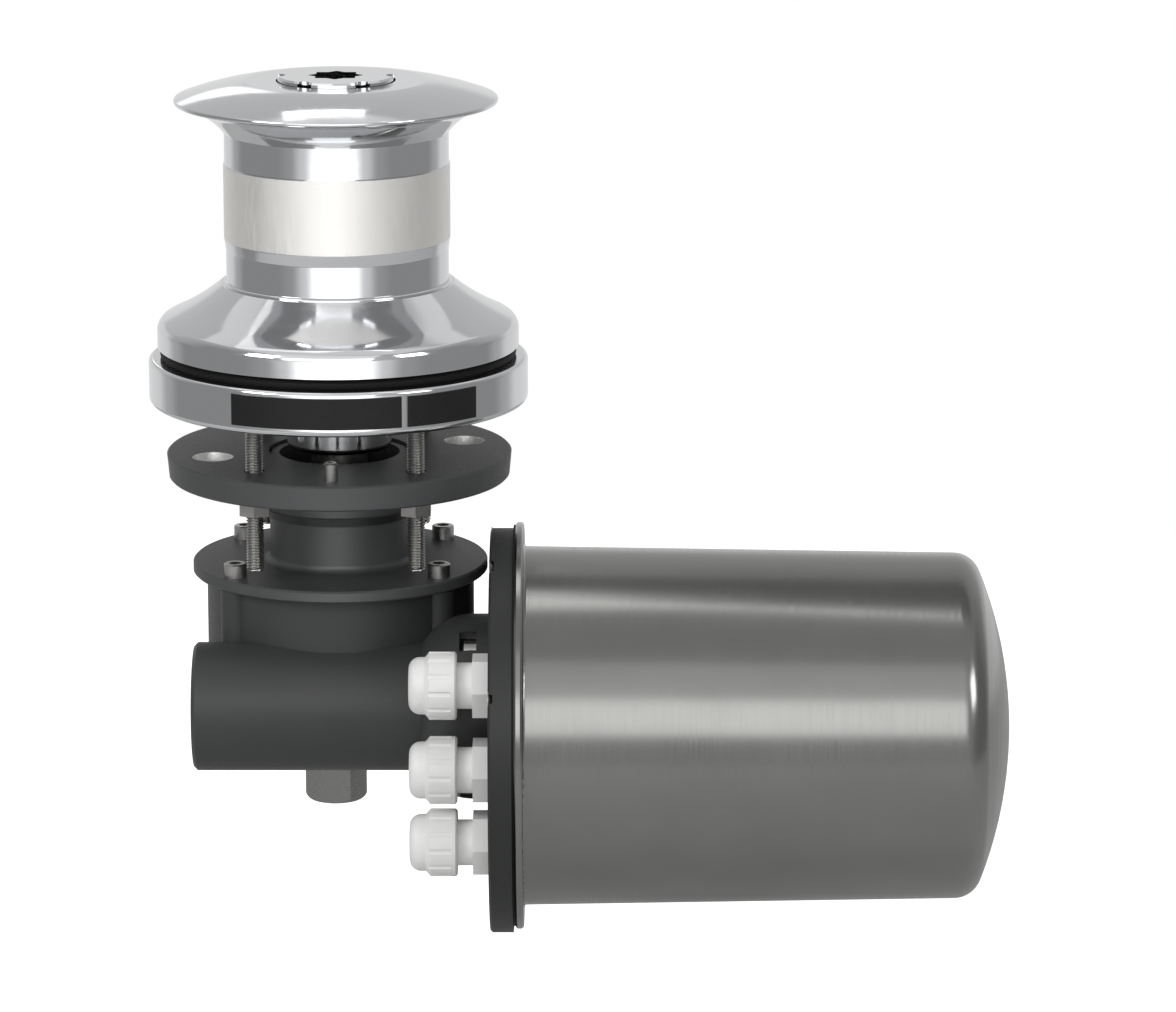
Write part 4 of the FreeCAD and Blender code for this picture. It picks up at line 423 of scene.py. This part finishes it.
def turned(name, corners):
    """A closed turning about the Z axis, from the corners of its outline."""
    outline = []
    for index, corner in enumerate(corners):
        start, end = corner[:2], corners[(index + 1) % len(corners)][:2]
        outline += arc_points(start, end, *corner[2:]) if len(corner) == 4 else line_points(start, end)
    bpy.ops.object.select_all(action="DESELECT")
    bpy.ops.mesh.primitive_circle_add(vertices=len(outline), radius=1)
    piece = bpy.context.object
    piece.name = name
    for vertex, (radius, height) in zip(piece.data.vertices, outline):
        vertex.co = (radius * MM, 0, height * MM)
    bpy.ops.object.mode_set(mode="EDIT")
    bpy.ops.mesh.select_all(action="SELECT")
    bpy.ops.mesh.spin(steps=TURN_STEPS, angle=2 * math.pi, center=(0, 0, 0), axis=(0, 0, 1))
    bpy.ops.mesh.select_all(action="SELECT")
    bpy.ops.mesh.remove_doubles(threshold=WELD)
    bpy.ops.mesh.normals_make_consistent(inside=False)
    bpy.ops.object.mode_set(mode="OBJECT")
    bpy.ops.object.shade_smooth_by_angle(angle=math.radians(TURNING_CREASE))
    return piece


def add_upright_cylinder(centre, radius, low, high, sides):
    """An upright cylinder as its own object, with its origin at the part's. All in metres."""
    bpy.ops.mesh.primitive_cylinder_add(vertices=sides, radius=radius, depth=high - low,
                                        location=(centre[0], centre[1], (low + high) / 2))
    bpy.ops.object.transform_apply(location=True, rotation=False, scale=False)
    return bpy.context.object


def join(pieces):
    """Joins the pieces into the first of them."""
    bpy.ops.object.select_all(action="DESELECT")
    for piece in pieces:
        piece.select_set(True)
    bpy.context.view_layer.objects.active = pieces[0]
    bpy.ops.object.join()
    return pieces[0]


def cylinder_tool(spots, radius, low, high):
    """Upright cylinders at the spots, joined as one tool. All in mm."""
    return join([add_upright_cylinder((x * MM, y * MM), radius * MM, low * MM, high * MM, TOOL_SIDES)
                 for x, y in spots])


def combine(piece, tool, operation):
    """Adds the tool to the piece, or cuts it away, and removes the tool."""
    bpy.ops.object.select_all(action="DESELECT")
    piece.select_set(True)
    bpy.context.view_layer.objects.active = piece
    change = piece.modifiers.new(operation.lower(), "BOOLEAN")
    change.operation = operation
    change.object = tool
    bpy.ops.object.modifier_apply(modifier=change.name)
    bpy.data.objects.remove(tool)


def put(piece, node, body, material):
    """The piece takes the place of a node: its body and its finish."""
    piece.data.materials.append(material)
    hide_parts(node)
    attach(piece, body)


def make_drum():
    """The rope drum: skirt, waisted barrel with a proud rope band, and a domed rim, hollow for the clutch."""
    put(turned("turned_rope_drum", DRUM_OUTLINE), "rope_drum", "drum_train", DRUM)


def make_base():
    """The deck base: a shallow pan with a hub, four bosses with stud holes, and a spigot below."""
    base = turned("turned_deck_base", BASE_OUTLINE)
    spots = [(x, y) for x in (STUD_X, -STUD_X) for y in (STUD_Y, -STUD_Y)]
    combine(base, cylinder_tool(spots, BOSS_R, BOSS_LOW, BOSS_TOP), "UNION")
    combine(base, cylinder_tool(spots, STUD_HOLE_R, STUD_HOLE_LOW, STUD_HOLE_TOP), "DIFFERENCE")
    put(base, "deck_base", "frame", CHROME)


# ---------------------------------------------------------------- screw threads

THREAD_SIDES, THREAD_ROWS = 36, 6    # sides of a rod, and rows of points to one turn of its thread
STUD_PITCH = 1.25 * MM
THREAD_DEPTH = 0.6                   # of the pitch
FLANK_SLOPE = 1.3                    # above 1, which leaves a flat root
CHAMFER, DEEPEST_CUT = 1.2, 1.4      # of the thread's depth


def threaded_rod(centre, low, high, radius, pitch):
    """An upright rod from low to high with a helical thread cut from end to end, and chamfered ends."""
    rod = add_upright_cylinder(centre, radius, low, high, THREAD_SIDES)
    bpy.ops.object.mode_set(mode="EDIT")
    bpy.ops.mesh.select_mode(type="EDGE")
    for cuts in (round((high - low) / pitch) - 1, THREAD_ROWS - 1):
        bpy.ops.mesh.select_all(action="DESELECT")
        for edge in bmesh.from_edit_mesh(rod.data).edges:
            edge.select_set(abs(edge.verts[0].co.z - edge.verts[1].co.z) > pitch / 2)
        bpy.ops.mesh.subdivide(number_cuts=cuts)
    bpy.ops.object.mode_set(mode="OBJECT")
    depth = THREAD_DEPTH * pitch
    for vertex in rod.data.vertices:
        x, y, z = vertex.co.x - centre[0], vertex.co.y - centre[1], vertex.co.z
        turn = math.atan2(y, x) / (2 * math.pi)
        flank = abs(((z - low) / pitch - turn) % 1 - 0.5) * 2
        chamfer = max(0, CHAMFER * depth - min(z - low, high - z))
        share = 1 - (depth * min(1, FLANK_SLOPE * flank) + chamfer) / radius
        share = max(share, 1 - DEEPEST_CUT * depth / radius)
        vertex.co.x, vertex.co.y = centre[0] + x * share, centre[1] + y * share
    bpy.ops.object.shade_smooth_by_angle(angle=math.radians(THREAD_CREASE))
    return rod


def make_studs():
    """The four clamp studs, threaded from end to end, in the places of the plain ones."""
    low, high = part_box("clamp_studs")
    radius = STUD_R * MM
    studs = join([threaded_rod((x, y), low[2], high[2], radius, STUD_PITCH)
                  for x in (low[0] + radius, high[0] - radius) for y in (low[1] + radius, high[1] - radius)])
    studs.name = "threaded_clamp_studs"
    put(studs, "clamp_studs", "frame", ZINC)


# ---------------------------------------------------------------- room

# The room has a pale wall behind, dark sides and a half bright front. Angles are in degrees.
STUDIO_STRENGTH = 1.25
WALL_LIGHT = [(180, 0.62), (140, 0.60), (124, 0.36), (110, 0.24),     # (turn from the front, brightness)
              (62, 0.24), (45, 0.3), (31, 0.42), (0, 0.42)]
FRONT_HEIGHT = [(-90, 1), (33, 1), (52, 0)]                           # (rise, share of the wall's light)
BACK_HEIGHT = [(-90, 1), (8, 1), (15, 0.4), (33, 0.3), (55, 0)]
BACK_BLEND = 0.45, 0.3               # shares of the turn from the back, between which front becomes back
CEILING_LIGHT = 0.38
BACK_CEILING = [(50, 0.38), (58, 0.2), (76, 0.2), (84, 0.38)]         # a dark band behind the top
WINDOW_TURN, WINDOW_RISE, WINDOW_CORE, WINDOW_EDGE = -9, 16, 2, 5     # a small window in the back wall
WINDOW_LIGHT = 0.9


def light_ramp(tree, factor, stops):
    """A grey ramp through (position, brightness) stops."""
    node = add_node(tree, "ShaderNodeValToRGB", {"Fac": factor})
    ramp = node.color_ramp
    ramp.interpolation = "EASE"
    while len(ramp.elements) < len(stops):
        ramp.elements.new(0.5)
    for element, (position, brightness) in zip(ramp.elements, stops):
        element.position = position
        element.color = grey(brightness)
    return node.outputs["Color"]


def rise_ramp(tree, upward, stops):
    """A ramp over the rise above the horizon, through (degrees, share) stops."""
    rise = map_range(tree, upward, -1.0, 1.0)
    return light_ramp(tree, rise, [((math.sin(math.radians(angle)) + 1) / 2, share)
                                   for angle, share in stops])


def turn_ramp(tree, turn, stops):
    """A ramp over the turn, whose share runs with its cosine from 0 behind to 1 in front, through
    (degrees from the front, brightness) stops."""
    return light_ramp(tree, turn, [((math.cos(math.radians(angle)) + 1) / 2, brightness)
                                   for angle, brightness in stops])


def make_studio():
    """White behind for the camera, and the room for everything else."""
    world = bpy.data.worlds.new("studio")
    bpy.context.scene.world = world
    world.use_nodes = True
    tree = world.node_tree
    tree.nodes.clear()
    way = add_node(tree, "ShaderNodeTexCoord").outputs["Generated"]
    parts = axes(tree, way)
    level_squared = arithmetic(tree, "ADD", arithmetic(tree, "MULTIPLY", parts["X"], parts["X"]),
                               arithmetic(tree, "MULTIPLY", parts["Y"], parts["Y"]))
    backward = arithmetic(tree, "DIVIDE", parts["Y"], arithmetic(tree, "SQRT", level_squared))
    turn = map_range(tree, backward, 1.0, -1.0)
    walls = turn_ramp(tree, turn, WALL_LIGHT)
    back = map_range(tree, turn, *BACK_BLEND)
    wall_share = mix_colours(tree, back, rise_ramp(tree, parts["Z"], FRONT_HEIGHT),
                             rise_ramp(tree, parts["Z"], BACK_HEIGHT))
    ceiling = mix_colours(tree, back, grey(CEILING_LIGHT), rise_ramp(tree, parts["Z"], BACK_CEILING))
    room = mix_colours(tree, wall_share, ceiling, walls)
    window_way = [math.sin(math.radians(WINDOW_TURN)), math.cos(math.radians(WINDOW_TURN)),
                  math.tan(math.radians(WINDOW_RISE))]
    nearness = add_node(tree, "ShaderNodeVectorMath", {0: way, 1: Vector(window_way).normalized()},
                        operation="DOT_PRODUCT").outputs["Value"]
    window = map_range(tree, nearness, math.cos(math.radians(WINDOW_EDGE)),
                       math.cos(math.radians(WINDOW_CORE)), 0.0, WINDOW_LIGHT,
                       interpolation_type="SMOOTHSTEP")
    lit = mix_colours(tree, 1.0, room, window, blend_type="ADD")
    studio = add_node(tree, "ShaderNodeBackground", {"Color": lit, "Strength": STUDIO_STRENGTH})
    white = add_node(tree, "ShaderNodeBackground", {"Color": grey(1), "Strength": 1.0})
    camera_ray = add_node(tree, "ShaderNodeLightPath").outputs["Is Camera Ray"]
    seen = add_node(tree, "ShaderNodeMixShader", {0: camera_ray, 1: studio.outputs[0], 2: white.outputs[0]})
    add_node(tree, "ShaderNodeOutputWorld", {"Surface": seen.outputs[0]})


# ---------------------------------------------------------------- lamps

DRUM_MIDDLE, PART_MIDDLE = (0.0, 0.0, 0.1), (0.1, 0.0, -0.04)
CAN_MIDDLE = (0.2, -0.1, -0.1)
CHROME_PIECES = "turned_rope_drum", "turned_deck_base", "clutch_nut"
UPPER_CASTINGS = "clamp_flange", "gearbox_cover"
LAMPS = [                            # name, place, target, width, height in metres; radiance; what it lights
    ("front lamp", (-0.15, -2.2, 0.65), PART_MIDDLE, 2.4, 0.93, 1.5, None),
    ("front hood", (-0.15, -1.7, 1.45), PART_MIDDLE, 2.4, 1.0, 0.4, None),
    ("left key", (-2.1, -1.8, 1.5), PART_MIDDLE, 1.0, 1.0, 9.0, None),
    ("right key", (2.3, -1.8, 1.5), PART_MIDDLE, 1.0, 1.0, 5.0, None),
    ("overhead lamp", (-0.03, 0.12, 1.0), DRUM_MIDDLE, 0.36, 0.34, 1.1, None),
    ("overhead sheet", (-0.25, 0.15, 1.02), DRUM_MIDDLE, 0.7, 0.7, 0.5, None),
    ("overhead strip", (0.34, 0.03, 1.5), CAN_MIDDLE, 0.62, 0.06, 2.4, None),
    ("back lamp", (-0.08, 0.95, 1.05), DRUM_MIDDLE, 0.24, 0.1, 3.0, None),
    ("chrome sheet", (0.0, 0.1, 1.6), DRUM_MIDDLE, 2.6, 2.6, 0.28, CHROME_PIECES),
    ("low fill", (-0.15, -2.0, 0.1), PART_MIDDLE, 1.2, 0.6, 8.0, UPPER_CASTINGS),
]
PANEL = ("low panel", (0.0, -0.9, -0.11), (0.0, 0.0, -0.11), 1.8, 0.22, 1.9, CHROME_PIECES)
PANEL_ACROSS = [(0, 0), (0.2, 0.12), (0.4, 1), (0.6, 1), (0.8, 0.12), (1, 0)]    # (share of width, of light)
PANEL_UP = [(0, 0), (0.2, 1), (0.8, 1), (1, 0)]


def add_lamp(name, place, target, wide, tall, radiance, pieces):
    """A soft lamp that looks at its target, as bright to the eye as the radiance given. Where pieces are
    named, it's flagged off from all the others."""
    lamp = bpy.data.lights.new(name, "AREA")
    lamp.shape = "RECTANGLE"
    lamp.size = wide
    lamp.size_y = tall
    lamp.energy = radiance * math.pi * wide * tall
    holder = bpy.data.objects.new(name, lamp)
    bpy.context.scene.collection.objects.link(holder)
    way = Vector(target) - Vector(place)
    holder.matrix_world = Matrix.Translation(place) @ way.to_track_quat("-Z", "Y").to_matrix().to_4x4()
    if pieces:
        lit = bpy.data.collections.new(name)
        for piece in pieces:
            lit.objects.link(bpy.data.objects[piece])
        holder.light_linking.receiver_collection = lit
    return holder


def make_panel():
    """A low panel in front of the chrome, bright in its middle and fading to its sides."""
    holder = add_lamp(*PANEL)
    holder.visible_camera = False
    lamp = holder.data
    lamp.use_nodes = True
    tree = lamp.node_tree
    tree.nodes.clear()
    parts = axes(tree, add_node(tree, "ShaderNodeNewGeometry").outputs["Parametric"])
    share = arithmetic(tree, "MULTIPLY", light_ramp(tree, parts["X"], PANEL_ACROSS),
                       light_ramp(tree, parts["Y"], PANEL_UP))
    glow = add_node(tree, "ShaderNodeEmission", {"Strength": share})
    add_node(tree, "ShaderNodeOutputLight", {"Surface": glow.outputs[0]})


# ---------------------------------------------------------------- floor and camera

FLOOR_R, FLOOR_MIDDLE, FLOOR_DROP, FLOOR_SIDES = 1.0, 0.1, 0.06, 96
FLOOR_LIFT = 0.9
VIEW_TARGET = Vector((111.05, 0, -49.6)) * MM
VIEW_DISTANCE = 2.5
VIEW_PITCH = 13.2                    # degrees
LENS, SENSOR = 170.8, 36             # mm


def make_floor():
    """A pale matt floor below the part, white for the camera where no shadow falls."""
    part_low = cad_box[0][2]
    bpy.ops.object.select_all(action="DESELECT")
    bpy.ops.mesh.primitive_circle_add(vertices=FLOOR_SIDES, radius=FLOOR_R, fill_type="NGON",
                                      location=(FLOOR_MIDDLE, 0, part_low - FLOOR_DROP))
    floor = bpy.context.object
    floor.name = "floor"
    material, tree, shader, _ = new_material("pale studio floor", Base_Color=linear("#d4d4d4"),
                                             Roughness=0.9, Emission_Color=grey(1))
    camera_ray = add_node(tree, "ShaderNodeLightPath").outputs["Is Camera Ray"]
    tree.links.new(arithmetic(tree, "MULTIPLY", camera_ray, FLOOR_LIFT), shader.inputs["Emission Strength"])
    floor.data.materials.append(material)


def make_camera():
    """A long lens, a little above the part, that looks straight at its front."""
    pitch = math.radians(VIEW_PITCH)
    camera = bpy.data.cameras.new("camera")
    camera.sensor_width = SENSOR
    camera.lens = LENS
    holder = bpy.data.objects.new("camera", camera)
    bpy.context.scene.collection.objects.link(holder)
    place = VIEW_TARGET + VIEW_DISTANCE * Vector((0, -math.cos(pitch), math.sin(pitch)))
    holder.matrix_world = Matrix.Translation(place) @ Matrix.Rotation(math.pi / 2 - pitch, 4, "X")
    bpy.context.scene.camera = holder


finish_nodes()
make_drum()
make_base()
make_studs()
make_studio()
for lamp_settings in LAMPS:
    add_lamp(*lamp_settings)
make_panel()
make_floor()
make_camera()
bpy.context.scene.view_settings.view_transform = "Standard"
